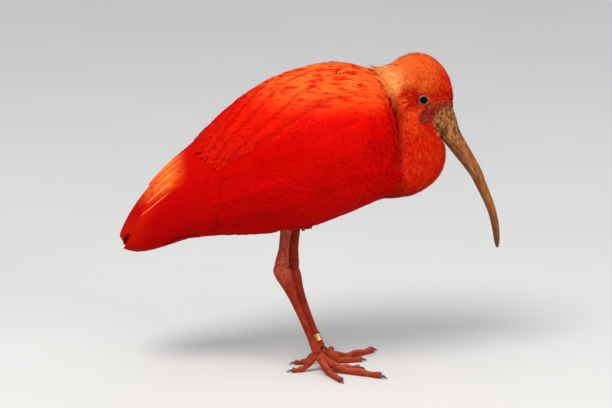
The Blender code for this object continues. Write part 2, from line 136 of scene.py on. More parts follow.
# Half widths of the shin and of the long foot bone, front to back and across, from top to bottom
SHIN_RADII = np.array(((0, 7.2, 6.2), (0.35, 5.6, 4.6), (0.65, 5.2, 4.2), (0.88, 7.0, 4.8), (1, 6.4, 4.2)))
TARSUS_RADII = np.array(((0, 3.8, 2.8), (0.03, 6.8, 4.8), (0.08, 8.2, 5.6), (0.15, 7.8, 5.2), (0.3, 5.2, 4.0),
                         (0.5, 3.8, 3.2), (0.8, 3.5, 3.2), (0.93, 4.4, 4.6), (1, 5.0, 5.6)))
HEEL_ABOVE = 7.0
TOES = {
    "middle": (19, 15, 68, 3.7, 2.8),
    "inner": (-3, 8, 43, 3.2, 2.5),
    "outer": (56, 16, 46, 3.2, 2.5),
    "hind": (171, 4, 25, 2.8, 2.2),
}
TOE_LANDS_AT = {"middle": 31, "inner": 26, "outer": 25, "hind": 18}
TOE_SINK = 0.5
CLAW_LENGTH = {"middle": 9.0, "inner": 7.5, "outer": 7.5, "hind": 8.0}
RING_SHARE = 0.87
RING_RADIUS = 5.4
RING_HEIGHT = 7.5

SKIN_VOXEL = 1.6
LEG_VOXEL = 0.6
# How far the solids are swollen until they meet in one guide, and how wide a hollow of it is filled
SWELL = 0.45
HOLLOW = 5.0
COAT_DEPTH = 2.8
HEAD_COAT_DEPTH = 2.0
HEAD_FROM_HEIGHT = 250
# The bare face as overlapping spots: x, z, their stretch both ways, and how much smaller each one is
BARE_SPOTS = ((134, 263, 0.62, 0.95, 0.0), (117, 260, 1.0, 1.0, 4.5), (136, 247, 1.0, 1.0, 2.5))
# Where the neck's colours end, as x at mid height
NECK_ENDS = 93
# Sides of the bake map's patches for a small feather and for a long one
PATCH = 0.003
LONG_PATCH = 0.04
# How much small feathers differ in size
SIZE_SPREAD = (0.85, 1.15)

# The photograph's view, in degrees and metres, and the width of the view at the bird
CAMERA_ELEVATION = 14
CAMERA_AZIMUTH = -5
CAMERA_DISTANCE = 3.0
VIEW_WIDTH = 0.612
SENSOR = 36.0
FLOOR_REACH = 6.0

rng = np.random.default_rng(11)


def to_world(points):
    return np.asarray(points, float) * MM + SHIFT


def to_drawing(points):
    return (np.asarray(points, float) - SHIFT) / MM


def unit(vectors):
    return vectors / np.maximum(np.linalg.norm(vectors, axis=-1, keepdims=True), 1e-9)


def smoothstep(low, high, x):
    t = np.clip((np.asarray(x, float) - low) / (high - low), 0, 1)
    return t * t * (3 - 2 * t)


def read(table, x):
    """The table's columns at x, read from a smooth curve through its rows."""
    keys = table[:, 0]
    x = np.clip(np.asarray(x, float), keys[0], keys[-1])
    i = np.clip(np.searchsorted(keys, x, side="right") - 1, 0, len(keys) - 2)
    before, after = np.maximum(i - 1, 0), np.minimum(i + 2, len(keys) - 1)
    span = (keys[i + 1] - keys[i])[..., None]
    t = (x - keys[i])[..., None] / span
    b, c = table[i, 1:], table[i + 1, 1:]
    left = (c - table[before, 1:]) / (keys[i + 1] - keys[before])[..., None] * span
    right = (table[after, 1:] - b) / (keys[after] - keys[i])[..., None] * span
    return (
        b * (2 * t**3 - 3 * t**2 + 1) + left * (t**3 - 2 * t**2 + t)
        + c * (3 * t**2 - 2 * t**3) + right * (t**3 - t**2)
    )


def on_body(x, degrees, grow):
    """Points on the body's outline at x and an angle round it, on the left side."""
    top, bottom, half_width, square = np.moveaxis(read(BODY, x), -1, 0)
    angle = np.radians(degrees)
    across, rise = np.cos(angle), np.sin(angle)
    power = np.where(rise >= 0, 2 / BODY_TOP_SQUARENESS, 2 / square)
    half = (top - bottom) / 2 + grow
    y = (half_width + grow) * np.sign(across) * np.abs(across) ** power
    z = (top + bottom) / 2 + half * np.sign(rise) * np.abs(rise) ** power
    return np.stack(np.broadcast_arrays(x, y, z), -1)


def toe_point(side, kind, reach, radius):
    """A point on a toe's line: it slopes down from the ball of the foot and then lies on the floor."""
    bearing, turn, length, _, _ = TOES[kind]
    ball = LEGS[side]["ball"]
    angle = OUTWARD[side] * math.radians(LEGS[side]["turned"] + bearing + turn * reach / length / 2)
    fall = max(1 - reach / TOE_LANDS_AT[kind], 0)
    floor = radius - TOE_SINK
    height = floor + (ball[2] - 2 - floor) * fall**1.6
    return np.array((ball[0] + reach * math.cos(angle), ball[1] + reach * math.sin(angle), height))


def new_object(name, data):
    """A new object in the scene, smooth unless it is flat anyway."""
    obj = bpy.data.objects.new(name, data)
    bpy.context.scene.collection.objects.link(obj)
    if obj.type == "MESH" and len(data.polygons) > 1:
        data.shade_smooth()
    return obj


def mesh_from(name, points, faces):
    """A mesh from drawing points and faces."""
    mesh = bpy.data.meshes.new(name)
    mesh.from_pydata(to_world(points), [], faces)
    return mesh


def piece(obj, material, slot, *nodes):
    """Finishes a piece: its material, the body it rides on and the solids it stands for."""
    obj.data.materials.clear()
    obj.data.materials.append(material)
    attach(obj, "root")
    if nodes:
        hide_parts(*nodes)
    return obj


def vertex_array(mesh, kind="co"):
    values = np.zeros(len(mesh.vertices) * 3, np.float32)
    mesh.vertices.foreach_get(kind, values)
    return values.reshape(-1, 3).astype(float)


def set_points(mesh, points):
    mesh.vertices.foreach_set("co", points.astype(np.float32).ravel())
    mesh.update()


def merge(parts, mesh):
    """Puts several meshes into one, side by side."""
    whole = bmesh.new()
    for part in parts:
        whole.from_mesh(part)
    whole.to_mesh(mesh)
    whole.free()
    return mesh


def remeshed(name, nodes, swell, voxel):
    """One closed mesh round several solids, which are first swollen until they overlap."""
    parts = []
    for node in nodes:
        shape = bmesh.new()
        shape.from_mesh(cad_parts[node].data)
        bmesh.ops.remove_doubles(shape, verts=shape.verts, dist=1e-5)
        shape.normal_update()
        for vert in shape.verts:
            vert.co += vert.normal * swell * MM
        parts.append(bpy.data.meshes.new("part"))
        shape.to_mesh(parts[-1])
        shape.free()
    mesh = merge(parts, bpy.data.meshes.new(name))
    for part in parts:
        bpy.data.meshes.remove(part)
    return made_whole(new_object(name, mesh), voxel)


def made_whole(obj, voxel):
    """Makes one closed skin of the object's parts."""
    remesh = obj.modifiers.new("remesh", "REMESH")
    remesh.mode = "VOXEL"
    remesh.voxel_size = voxel * MM
    obj.data = bpy.data.meshes.new_from_object(obj.evaluated_get(bpy.context.evaluated_depsgraph_get()))
    obj.modifiers.clear()
    obj.data.shade_smooth()
    return obj


def push(mesh, distance):
    """Moves the surface outward by a distance in millimetres, which may differ from point to point."""
    distance = np.broadcast_to(distance, len(mesh.vertices))[:, None] * MM
    set_points(mesh, vertex_array(mesh) + vertex_array(mesh, "normal") * distance)


def filled(obj, reach, voxel):
    """Fills narrow hollows of the front: the surface goes out by the reach, is made whole and comes back."""
    def distance():
        x = to_drawing(vertex_array(obj.data))[:, 0]
        return reach * smoothstep(-60, 0, x) * (1 + 0.8 * smoothstep(114, 98, x))

    push(obj.data, distance())
    made_whole(obj, voxel)
    relaxed(obj.data, 4)
    push(obj.data, -distance())
    relaxed(obj.data, 4)
    return obj


def relaxed(mesh, rounds):
    """Evens a mesh out by moving each point towards its neighbours, and back to keep its size."""
    edges = np.zeros(len(mesh.edges) * 2, np.int32)
    mesh.edges.foreach_get("vertices", edges)
    edges = edges.reshape(-1, 2)
    points = vertex_array(mesh)
    count = np.bincount(edges.ravel(), minlength=len(points))[:, None]
    for step in range(rounds * 2):
        total = np.zeros_like(points)
        for axis in range(3):
            total[:, axis] += np.bincount(edges[:, 0], points[edges[:, 1], axis], len(points))
            total[:, axis] += np.bincount(edges[:, 1], points[edges[:, 0], axis], len(points))
        share = 0.55 if step % 2 == 0 else -0.57
        points += share * (total / count - points)
    set_points(mesh, points)


class Guide:
    """The outer surface that the coat follows, with smooth normals and quick nearest points."""

    def __init__(self, mesh):
        shape = bmesh.new()
        shape.from_mesh(mesh)
        self.tree = BVHTree.FromBMesh(shape)
        shape.free()
        normals = vertex_array(mesh, "normal")
        self.normals = unit(np.array([normals[list(poly.vertices)].mean(0) for poly in mesh.polygons]))
        self.centres = to_drawing(np.array([tuple(poly.center) for poly in mesh.polygons]))
        self.areas = np.array([poly.area for poly in mesh.polygons]) / MM**2

    def nearest(self, points):
        """The surface's nearest points to drawing points, and its normals there."""
        flat = to_world(points.reshape(-1, 3))
        places, faces = np.empty_like(flat), np.empty(len(flat), int)
        for k, place in enumerate(flat):
            places[k], _, faces[k], _ = self.tree.find_nearest(place)
        return to_drawing(places).reshape(points.shape), self.normals[faces].reshape(points.shape)

    def sprinkle(self, wanted, spacing):
        """Roots spread over the faces that are wanted, at about the given spacing."""
        weight = self.areas * wanted
        count = int(weight.sum() / spacing**2 * 4)
        chosen = rng.choice(len(weight), count, p=weight / weight.sum())
        places = self.centres[chosen] + rng.normal(0, spacing * 0.5, (count, 3))
        _, first = np.unique(np.floor(places / spacing).astype(int), axis=0, return_index=True)
        return self.nearest(places[first])


def body_angle(places):
    """The angle of places round the body: 90 on the back, 0 at the side and -90 under the belly."""
    top, bottom, half_width, square = np.moveaxis(read(BODY, places[:, 0]), -1, 0)
    rise = (places[:, 2] - (top + bottom) / 2) / ((top - bottom) / 2)
    power = np.where(rise >= 0, BODY_TOP_SQUARENESS, square) / 2
    across = np.clip(np.abs(places[:, 1]) / half_width, 0, 1) ** power
    return np.degrees(np.arctan2(np.sign(rise) * np.clip(np.abs(rise), 0, 1) ** power, across))


def past_crease(places):
    """How far in front of the neck's rear border a place lies."""
    return places[:, 0] - np.interp(places[:, 2], CREASE[:, 0], CREASE[:, 1])


def droop(x):
    """How far round the body the back's bundles have come down by x, in degrees, and how fast."""
    behind = np.maximum(-x, 0)
    return -0.15 * x + 0.004 * behind**2, 0.15 + 0.008 * behind


def folds(places):
    """Relief of the plumage in millimetres: long soft bundles on the back, faint swells on the side."""
    x, angle = places[:, 0], body_angle(places)
    on_back = smoothstep(6, 24, angle) * smoothstep(-112, -74, x) * smoothstep(66, 30, x)
    bend = 4 * np.sin(x / 31 + angle / 17) + 2.5 * np.sin(x / 15 - angle / 11 + 2)
    bundles = 2.0 * np.abs(np.sin(math.pi * (angle + droop(x)[0] + bend) / 19)) ** 1.1 - 1.3
    swell = np.sin(x / 15 + angle / 9) + np.sin(x / 23 - angle / 7 + 1) + np.sin(x / 9.5 + angle / 26 + 4)
    on_body = smoothstep(-4, -24, past_crease(places)) * smoothstep(-165, -120, x)
    front_edge = np.exp(-((x - 52 - 0.25 * angle) / 7) ** 2) * smoothstep(60, 25, angle)
    front_edge = front_edge * smoothstep(-60, -30, angle)
    return on_back * bundles * on_body + 0.34 * swell * on_body * (1 - on_back) + 1.3 * front_edge * on_body


def body_flow(places):
    """The lie of the feathers on the trunk and wings: backwards along the body's lines."""
    x, angle = places[:, 0], body_angle(places)
    ahead, behind = read(BODY, x + 3), read(BODY, x - 3)
    slope = (ahead[:, :2] - behind[:, :2]) / 6
    share = np.clip((angle + 90) / 180, 0, 1)
    slope = np.clip(slope[:, 1] + (slope[:, 0] - slope[:, 1]) * share, -0.1, 1.3)
    slope = slope + 0.7 * droop(x)[1] * smoothstep(0, 35, angle) + 0.1
    rear = smoothstep(-12, 0, past_crease(places))
    outward = np.sign(places[:, 1]) * (0.10 * smoothstep(60, 85, angle) + 0.9 * rear)
    return np.stack((-np.ones(len(x)), outward, -slope), -1)


def front_flow(places):
    """The lie of the plumes on head and neck: away from the bill, down the neck and back at the breast."""
    away = unit(places - np.array((146.0, 0, 262.0)))
    rear = smoothstep(20, 4, past_crease(places))
    z = places[:, 2]
    breast = smoothstep(216, 184, z)
    down = np.stack((-0.12 - 0.7 * rear - 1.1 * breast, 0 * z, -smoothstep(172, 200, z) - 0.05), -1)
    falling = np.maximum(smoothstep(264, 240, z), smoothstep(102, 84, places[:, 0]))
    return away * (1 - falling[:, None]) + unit(down) * falling[:, None]


def nape_flow(places):
    """The lie of the longest plumes, which stand back from the nape over the shoulder."""
    return np.stack((-np.ones(len(places)), 0.15 * np.sign(places[:, 1]), np.full(len(places), -0.3)), -1)


def vane_template(rows, columns, width_at, crown, fray=0.0):
    """A feather's blade as a grid: along, across and height, with faces."""
    s = np.repeat(rows, len(columns))
    t = np.tile(columns, len(rows))
    wide = np.repeat(width_at(rows), len(columns))
    index = np.arange(len(s)).reshape(len(rows), len(columns))
    faces = np.stack((index[:-1, :-1], index[:-1, 1:], index[1:, 1:], index[1:, :-1]), -1).reshape(-1, 4)
    return {
        "rows": rows, "row": np.repeat(np.arange(len(rows)), len(columns)), "s": s, "t": t,
        "across": t * wide / 2, "height": -crown * t**2 * wide, "faces": faces, "fray": fray * np.abs(t),
    }


def tuft_template(blades, spread, rows):
    """Several fine blades that leave one root and part a little."""
    blade, k, edge = (part.ravel() for part in np.indices((blades, len(rows), 2)))
    place = (blade + 0.5) / blades * 2 - 1
    along = np.array(rows)[k]
    thick = 0.62 / blades * (1 - along**2) + 0.02
    first = np.flatnonzero((k < len(rows) - 1) & (edge == 0))
    return {
        "rows": np.array(rows), "row": k, "t": place, "height": -0.10 * place**2, "fray": np.zeros(len(k)),
        "s": along * (1 - 0.22 * np.abs(place) - 0.12 * (blade % 2)),
        "across": (place * (0.35 + spread * along) + (edge * 2 - 1) * thick) / 2,
        "faces": np.stack((first, first + 1, first + 3, first + 2), -1),
    }


def unwrap(places, kind):
    """Where a root lies on the unwrapped skin: round the body's axis and along it."""
    x, y, z = places[:, 0], places[:, 1], places[:, 2]
    if kind == "front":
        turn = np.arctan2(y, x - 100)
        along = (z - 170) / 155
    else:
        here = read(BODY, x)
        turn = np.arctan2(y, z - (here[:, 0] + here[:, 1]) / 2)
        along = (x + 195) / 310
    return np.stack((0.02 + 0.95 * (turn / (2 * math.pi) + 0.5), 0.02 + 0.95 * np.clip(along, 0, 1)), -1)


def feather_mesh(name, points, template, tones, relief, roots_uv, patch):
    """Joins feathers into one mesh with their tones and their patches of the bake map."""
    count, size = points.shape[:2]
    faces = (template["faces"][None] + (np.arange(count) * size)[:, None, None]).reshape(-1, 4)
    mesh = mesh_from(name, points.reshape(-1, 3), faces)
    colours = np.empty((count, size, 4), np.float32)
    for k, part in enumerate((tones[:, None], template["s"], template["t"] * 0.5 + 0.5, relief)):
        colours[..., k] = part
    attribute = mesh.color_attributes.new(name="plume", type="FLOAT_COLOR", domain="POINT")
    attribute.data.foreach_set("color", colours.ravel())
    widest = max(np.abs(template["across"]).max(), 1e-6)
    local = np.stack((template["across"] / widest * 0.5, template["s"]), -1) * patch
    uv = (roots_uv[:, None] + local[None]).reshape(-1, 2)
    layer = mesh.uv_layers.new(name="OFBake")
    layer.data.foreach_set("uv", uv[faces.ravel()].astype(np.float32).ravel())
    return new_object(name, mesh)


def at_roots(setting, roots):
    """A setting at each root, from a number or a function of the roots."""
    return setting(roots) if callable(setting) else np.full(len(roots), float(setting))


def clear_of_eye(roots, reach):
    """Which feathers don't cross an eyelid."""
    clear = np.ones(len(roots), bool)
    for share in (0, 0.35, 0.7, 1):
        spot = roots + reach * share
        from_eye = np.hypot(spot[:, 0] - EYE[0], spot[:, 2] - EYE[2])
        clear &= (from_eye > LID_RADIUS + LID_CLEARANCE) | (np.abs(spot[:, 1]) < 6)
    return clear


def lay(name, wanted, spacing, flow, length, width, template, lift, material, kind, turn):
    """Covers the wanted faces of the guide with feathers, each following the surface to its tip.

    lift holds the heights of root and tip over the guide. The length, the width and the tip's height are
    numbers or functions of the roots. kind picks the bake map's layout, and turn is how far feathers stray.
    """
    roots, normals = guide.sprinkle((wanted & covered).astype(float), spacing)
    clear = clear_of_eye(roots, unit(flow(roots)) * at_roots(length, roots)[:, None])
    roots, normals = roots[clear], normals[clear]
    count = len(roots)
    direction = flow(roots)
    direction = unit(direction - normals * (direction * normals).sum(-1, keepdims=True))
    side = np.cross(normals, direction)
    direction = unit(direction + side * rng.normal(0, turn, (count, 1)))
    length = at_roots(length, roots) * rng.uniform(*SIZE_SPREAD, count)
    width = at_roots(width, roots) * rng.uniform(*SIZE_SPREAD, count)
    raised = at_roots(lift[1], roots)[:, None]
    rows, row, s = template["rows"], template["row"], template["s"][None]
    middles, sides = [], []
    here, up = roots, normals
    for k, share in enumerate(rows):
        if k:
            step = (share - rows[k - 1]) * length
            here, up = guide.nearest(here + direction * step[:, None])
            direction = unit(direction - up * (direction * up).sum(-1, keepdims=True))
        middles.append(here)
        sides.append(np.cross(up, direction))
    middles, sides = np.stack(middles, 1), np.stack(sides, 1)
    across = template["across"][None] * width[:, None]
    fray = rng.normal(0, 1, (count, len(row))) * template["fray"][None] * width[:, None]
    points = middles[:, row] + sides[:, row] * across[..., None]
    ahead = unit(middles[:, np.minimum(row + 1, len(rows) - 1)] - middles[:, np.maximum(row - 1, 0)])
    points += ahead * fray[..., None]
    points += ahead * ((s - rows[row]) * length[:, None])[..., None]
    down, up = guide.nearest(points)
    rise = lift[0] + (raised - lift[0]) * s**0.7
    rise = rise + rng.normal(0, 0.09, (count, 1)) * s**2
    rise = rise + template["height"][None] * width[:, None]
    points = down + up * rise[..., None]
    # The relief carries the folds' height, by which the coat paints shade into the valleys.
    relief = np.clip(0.65 + folds(points.reshape(-1, 3)) * 0.4, 0, 1).reshape(points.shape[:2])
    made = feather_mesh(name, points, template, rng.uniform(0, 1, count), relief, unwrap(roots, kind), PATCH)
    piece(made, material, "plumage")


# Materials


class Value:
    """A socket of a material's nodes. It is added, taken away and multiplied like a number."""

    def __init__(self, look, socket):
        self.look = look
        self.socket = socket

    def __add__(self, other):
        return self.look.math("ADD", self, other)

    def __sub__(self, other):
        return self.look.math("SUBTRACT", self, other)

    def __mul__(self, other):
        return self.look.math("MULTIPLY", self, other)

    def __abs__(self):
        return self.look.math("ABSOLUTE", self)

    def ramp(self, low, high):
        """0 below low, 1 above high, and smooth between. With low over high it falls instead."""
        ends = {"From Min": min(low, high), "From Max": max(low, high)}
        ends |= {"To Min": float(low > high), "To Max": float(low <= high)}
        return self.look.node("ShaderNodeMapRange", {"Value": self} | ends, interpolation_type="SMOOTHSTEP")

    def parts(self, kind="ShaderNodeSeparateXYZ"):
        """The three parts of a vector or a colour."""
        return [Value(self.look, part) for part in self.look.node(kind, {0: self}).socket.node.outputs]


class Shading:
    """A new material with short names for its nodes. Its lengths are drawing millimetres."""

    def __init__(self, name, roughness, specular=0.5, subsurface=0.0):
        self.material = bpy.data.materials.new(name)
        self.material.use_nodes = True
        self.tree = self.material.node_tree
        self.shader = self.tree.nodes["Principled BSDF"]
        self.feed(self.shader, {
            "Roughness": roughness, "Specular IOR Level": specular, "Subsurface Weight": subsurface,
            "Subsurface Radius": (0.004, 0.0015, 0.001),
        })
        shifted = self.vector("SUBTRACT", self.node("ShaderNodeTexCoord", output="Object"), tuple(SHIFT))
        self.place = self.vector("MULTIPLY", shifted, (1 / MM,) * 3)
        self.length, self.side, self.height = self.place.parts()
        self.mirrored = self.node("ShaderNodeCombineXYZ", {0: self.length, 1: abs(self.side), 2: self.height})

    def feed(self, node, inputs):
        """Sets a node's inputs, each to a value of other nodes, a number, a vector or a colour."""
        for key, value in inputs.items():
            socket = node.inputs[key]
            if isinstance(value, Value):
                self.tree.links.new(value.socket, socket)
            elif socket.type == "RGBA":
                socket.default_value = (*value, 1.0)
            else:
                socket.default_value = value

    def node(self, kind, inputs=None, output=0, **settings):
        """One output of a new node that has the given inputs and settings."""
        made = self.tree.nodes.new(kind)
        for key, value in settings.items():
            setattr(made, key, value)
        self.feed(made, inputs or {})
        return Value(self, made.outputs[output])

    def math(self, operation, first, second=0.0):
        return self.node("ShaderNodeMath", {0: first, 1: second}, operation=operation)

    def vector(self, operation, first, second):
        return self.node("ShaderNodeVectorMath", {0: first, 1: second}, operation=operation)

    def mix(self, share, first, second, blend="MIX"):
        inputs = {"Factor": share, 6: first, 7: second}
        return self.node("ShaderNodeMix", inputs, 2, data_type="RGBA", blend_type=blend)

    def layers(self, colour, *layers):
        """A colour with others laid over it in turn, each given by its share and colour."""
        for share, over, *blend in layers:
            colour = self.mix(share, colour, over, *blend)
        return colour

    def distance(self, point, factors=(1, 1, 1)):
        """Distance from a drawing point, with both sides of the body alike."""
        offset = self.vector("MULTIPLY", self.vector("SUBTRACT", self.mirrored, point), factors)
        return self.node("ShaderNodeVectorMath", {0: offset}, "Value", operation="LENGTH")

    def noise(self, size, detail=3.0, factors=(1, 1, 1), roughness=0.55):
        """Cloudy noise with spots of about the given size."""
        return self.node("ShaderNodeTexNoise", {
            "Vector": self.vector("MULTIPLY", self.place, factors), "Scale": 1 / size, "Detail": detail,
            "Roughness": roughness,
        })

    def cells(self, size, factors=(1, 1, 1)):
        """Distance to the edges of cells of about the given size."""
        inputs = {"Vector": self.vector("MULTIPLY", self.place, factors), "Scale": 1 / size}
        return self.node("ShaderNodeTexVoronoi", inputs, "Distance", feature="DISTANCE_TO_EDGE")

    def bump(self, height, strength, distance):
        inputs = {"Height": height, "Strength": strength, "Distance": distance * MM}
        self.feed(self.shader, {"Normal": self.node("ShaderNodeBump", inputs, "Normal")})

    def finish(self, colour, **others):
        """The finished material, with its colour and its other varying inputs."""
        self.feed(self.shader, {"Base Color": colour} | others)
        return self.material


SCARLET = (0.42, 0.0008, 0.0005)
BRIGHT_RED = (0.66, 0.0030, 0.0010)
DEEP_RED = (0.26, 0.0010, 0.0010)
FLAME = (0.74, 0.022, 0.003)
ORANGE = (0.95, 0.150, 0.022)
NAPE_ORANGE = (1.0, 0.360, 0.090)
FOREHEAD_RED = (0.95, 0.018, 0.003)
CHEEK_RED = (0.62, 0.002, 0.001)
LIGHT_MOTTLE = (0.30, 0.11, 0.02)
DARK_MOTTLE = (0.62, 0.26, 0.18)
FACE_CRIMSON = (0.14, 0.004, 0.002)
FACE_GREY = (0.26, 0.030, 0.012)
FACE_PALE = (0.48, 0.17, 0.085)
FACE_KHAKI = (0.40, 0.155, 0.044)
GAPE_LINE = (0.05, 0.008, 0.006)
LID_PALE = (0.44, 0.135, 0.090)
SOCKET_SHADE = (0.03, 0.008, 0.006)
LEG_DEEP = (0.18, 0.006, 0.002)
LEG_RED = (0.31, 0.020, 0.005)
LEG_FAR_SHADE = (0.17, 0.005, 0.003)
FOOT_RED = (0.34, 0.040, 0.014)
SHIN_PALE = (0.52, 0.150, 0.090)
SCALE_EDGE = (0.42, 0.11, 0.06)
LEG_SPECK = (0.09, 0.008, 0.005)
LEG_BLOTCH = (0.12, 0.010, 0.006)
TOE_TOP_HIGHLIGHT = (0.52, 0.15, 0.08)
HORN_FLECK = (0.085, 0.024, 0.009)
HORN_BROWN = (0.17, 0.045, 0.007)
HORN_PINK = (0.32, 0.105, 0.018)
HORN_TIP = (0.150, 0.050, 0.014)
HORN_UNDERSIDE_SHADE = (0.12, 0.030, 0.010)


def plumage_colour(look, neck_ends=NECK_ENDS):
    """The markings of the feathered body, shared by the coat and the skin under it, with painted light mixed
    in: paler towards the top, painted orange highlights on the back and partly on crown and nape, and painted
    shade towards the belly.
    """
    height, length = look.height, look.length
    streaks = look.noise(5, 4, (0.35, 1, 1.3))
    lit = height.ramp(225, 300) + look.noise(36, 4).ramp(0.3, 0.75) * 0.3
    back = height.ramp(265, 302) * streaks.ramp(0.32, 0.58) * length.ramp(-80, -20)
    rump = (height - length * 0.66).ramp(279, 293) * length.ramp(-118, -140) * length.ramp(-176, -150)
    rise = look.math("MAXIMUM", height - 238, 0.0) * 0.27
    front = (length + rise).ramp(neck_ends - 1, neck_ends + 3)
    neck = look.distance((116, 0, 232), (1, 0.4, 0.55)).ramp(38, 26) * front
    head = look.distance((110, 0, 284), (1, 0.6, 1)).ramp(42, 30) * front
    speckle = look.noise(7, 4, roughness=0.6).ramp(0.15, 0.75)
    # The crown's orange, strongest on top of the head, is partly its own colour and partly a painted
    # highlight.
    crown = look.mix(speckle.ramp(-0.4, 0.8) * height.ramp(262, 296), FLAME, ORANGE)
    nape = look.distance((80, 6, 296), (0.8, 0.5, 0.9)).ramp(23, 8) * front
    collar = look.distance((104, 22, 262), (1.3, 0.5, 0.6)).ramp(16, 6) * front
    return look.layers(
        look.mix(lit, SCARLET, BRIGHT_RED),
        (streaks.ramp(0.5, 0.75) * 0.3, BRIGHT_RED),
        # Painted highlight: orange streaks along the top of the back.
        (back, ORANGE),
        (rump * streaks.ramp(0.1, 0.6), ORANGE),
        # Painted shade: darker towards the belly.
        (height.ramp(205, 150) * 0.55, DEEP_RED),
        (neck * 0.6, FLAME),
        (head, crown),
        (look.distance((150, 0, 288), (0.8, 0.4, 0.7)).ramp(27, 10) * 0.85, FOREHEAD_RED),
        # The nape's pale orange is partly the plumes' own colour and partly a painted highlight.
        (nape * speckle.ramp(-0.6, 0.8), NAPE_ORANGE),
        (collar * 0.22, ORANGE),
        (look.distance((132, 15, 279), (0.42, 0.2, 1.1)).ramp(12, 4) * 0.75, BRIGHT_RED),
        (look.distance((101, 17, 279), (0.75, 0.3, 0.75)).ramp(13, 5) * 0.95, CHEEK_RED),
    )


def coat_material(name, light, rims, barbs, change, neck_ends=NECK_ENDS, quills=0.0, shaded=0.2, mottled=0.0):
    """Feathers: the body's markings and painted light, varied from feather to feather and along each one, and
    darkened by painted shade in the valleys of the folds.

    light is the colour of the paler feathers and rims, barbs how fine the bands along a feather are, and
    neck_ends where the neck's colour stops. The rest are strengths: of the rims, of the change between
    feathers, of pale quills, of the shade at the roots and of the mottling.
    """
    look = Shading(name, 0.6, specular=0.01)
    plume = look.node("ShaderNodeAttribute", output="Color", attribute_name="plume")
    tone, along, across = plume.parts("ShaderNodeSeparateColor")
    relief = Value(look, plume.socket.node.outputs["Alpha"])
    edge = abs(across - 0.5)
    rim = look.math("MAXIMUM", along.ramp(0.8, 1.0), edge.ramp(0.38, 0.5))
    quill = edge.ramp(0.035, 0.015) * tone.ramp(0.62, 0.7) * quills * along.ramp(0.72, 0.86)
    spread = look.node("ShaderNodeCombineXYZ", {0: along * 6.0 + edge * -5.0, 1: tone})
    inputs = {"Vector": spread, "Scale": barbs, "Distortion": 1.5}
    band = look.node("ShaderNodeTexWave", inputs, "Fac", wave_type="BANDS", bands_direction="X")
    look.bump(band, 0.15, 0.1)
    colour = look.layers(
        plumage_colour(look, neck_ends),
        (tone.ramp(0.55, 1.0) * change, light),
        (tone.ramp(0.45, 0.0) * change, DEEP_RED),
        (tone.ramp(0.62, 0.9) * mottled, LIGHT_MOTTLE, "ADD"),
        (tone.ramp(0.4, 0.1) * mottled, DARK_MOTTLE, "MULTIPLY"),
        (rim * rims, light),
        (quill, NAPE_ORANGE),
        # Painted shade: darker in the valleys between the folds' bundles.
        (relief.ramp(0.55, 0.1) * 0.45, DEEP_RED),
        (along.ramp(0.5, 0.1) * shaded, DEEP_RED),
        (band * 0.08, DEEP_RED),
    )
    return look.finish(colour, Roughness=tone * 0.16 + 0.52)


def face_colour(look, colour, fine):
    """The bare face: crimson by the gape, grey pink before the eye and mottled at the bill's root."""
    height, length = look.height, look.length
    lores, gape, chin = (
        look.distance((x, 0, z), (wide, 0, high)) + smaller for x, z, wide, high, smaller in BARE_SPOTS
    )
    away = look.math("MINIMUM", look.math("MINIMUM", lores, gape), chin) + (look.noise(4, 3) - 0.5) * 7.0
    crimson = look.distance((116, 0, 259), (0.9, 0, 0.9)).ramp(14, 8)
    crimson = crimson * look.noise(3.4, 4, roughness=0.65).ramp(0.62, 0.4)
    flecks = look.mix(look.noise(5, 6, (1.3, 1, 0.8), 0.75).ramp(0.42, 0.56), HORN_FLECK, FACE_KHAKI)
    slant = height - 243.7 + (length - 130.5) * 0.9
    bare = look.layers(
        look.mix(fine.ramp(0.38, 0.60), FACE_CRIMSON, FACE_GREY),
        (crimson * 0.9, FACE_CRIMSON),
        (look.noise(2.6, 5, roughness=0.7).ramp(0.55, 0.68) * 0.45, FACE_PALE),
        (look.distance((139, 0, 251), (0.8, 0, 0.72)).ramp(14, 9), flecks),
        (abs(slant).ramp(1.6, 0.6) * length.ramp(117, 120) * length.ramp(133, 130), GAPE_LINE),
    )
    lid = look.distance(EYE, (1, 0.4, 1))
    return look.layers(
        colour,
        (away.ramp(13.5, 11.0), bare),
        (lid.ramp(6.8, 5.8), look.mix(fine.ramp(0.4, 0.6), FACE_CRIMSON, LID_PALE)),
        (lid.ramp(5.4, 5.0) * look.noise(3, 3).ramp(0.35, 0.6), LID_PALE),
        # Painted shade in the socket, where the lids meet the eyeball.
        (lid.ramp(4.3, 4.0), SOCKET_SHADE),
    )


def leg_colour(look, scales):
    """Legs and toes: small pale-edged scales over red skin, painted shade on the far leg and a painted
    highlight along the top of the toes.
    """
    fine = look.noise(2, 3)
    height = look.height
    shin = height.ramp(80, 105) * look.side.ramp(2, -8) * fine.ramp(0.4, 0.62)
    upward = look.node("ShaderNodeNewGeometry", output="Normal").parts()[2]
    return look.layers(
        look.mix(look.noise(17, 3).ramp(0.35, 0.65), LEG_DEEP, LEG_RED),
        # Painted shade: the far leg darker.
        (look.side.ramp(-4, 6) * 0.6, LEG_FAR_SHADE),
        (height.ramp(34, 16) * 0.7, FOOT_RED),
        (shin * 0.5, SHIN_PALE),
        (scales.ramp(0.13, 0.03) * 0.3, SCALE_EDGE),
        (fine.ramp(0.52, 0.7) * 0.6, LEG_SPECK),
        (look.noise(6, 5, (1, 1, 0.5), 0.7).ramp(0.48, 0.62) * 0.5, LEG_BLOTCH),
        # Painted highlight along the upward-facing tops of the toes.
        (upward.ramp(0.6, 0.98) * height.ramp(30, 20) * 0.35, TOE_TOP_HIGHLIGHT),
    )


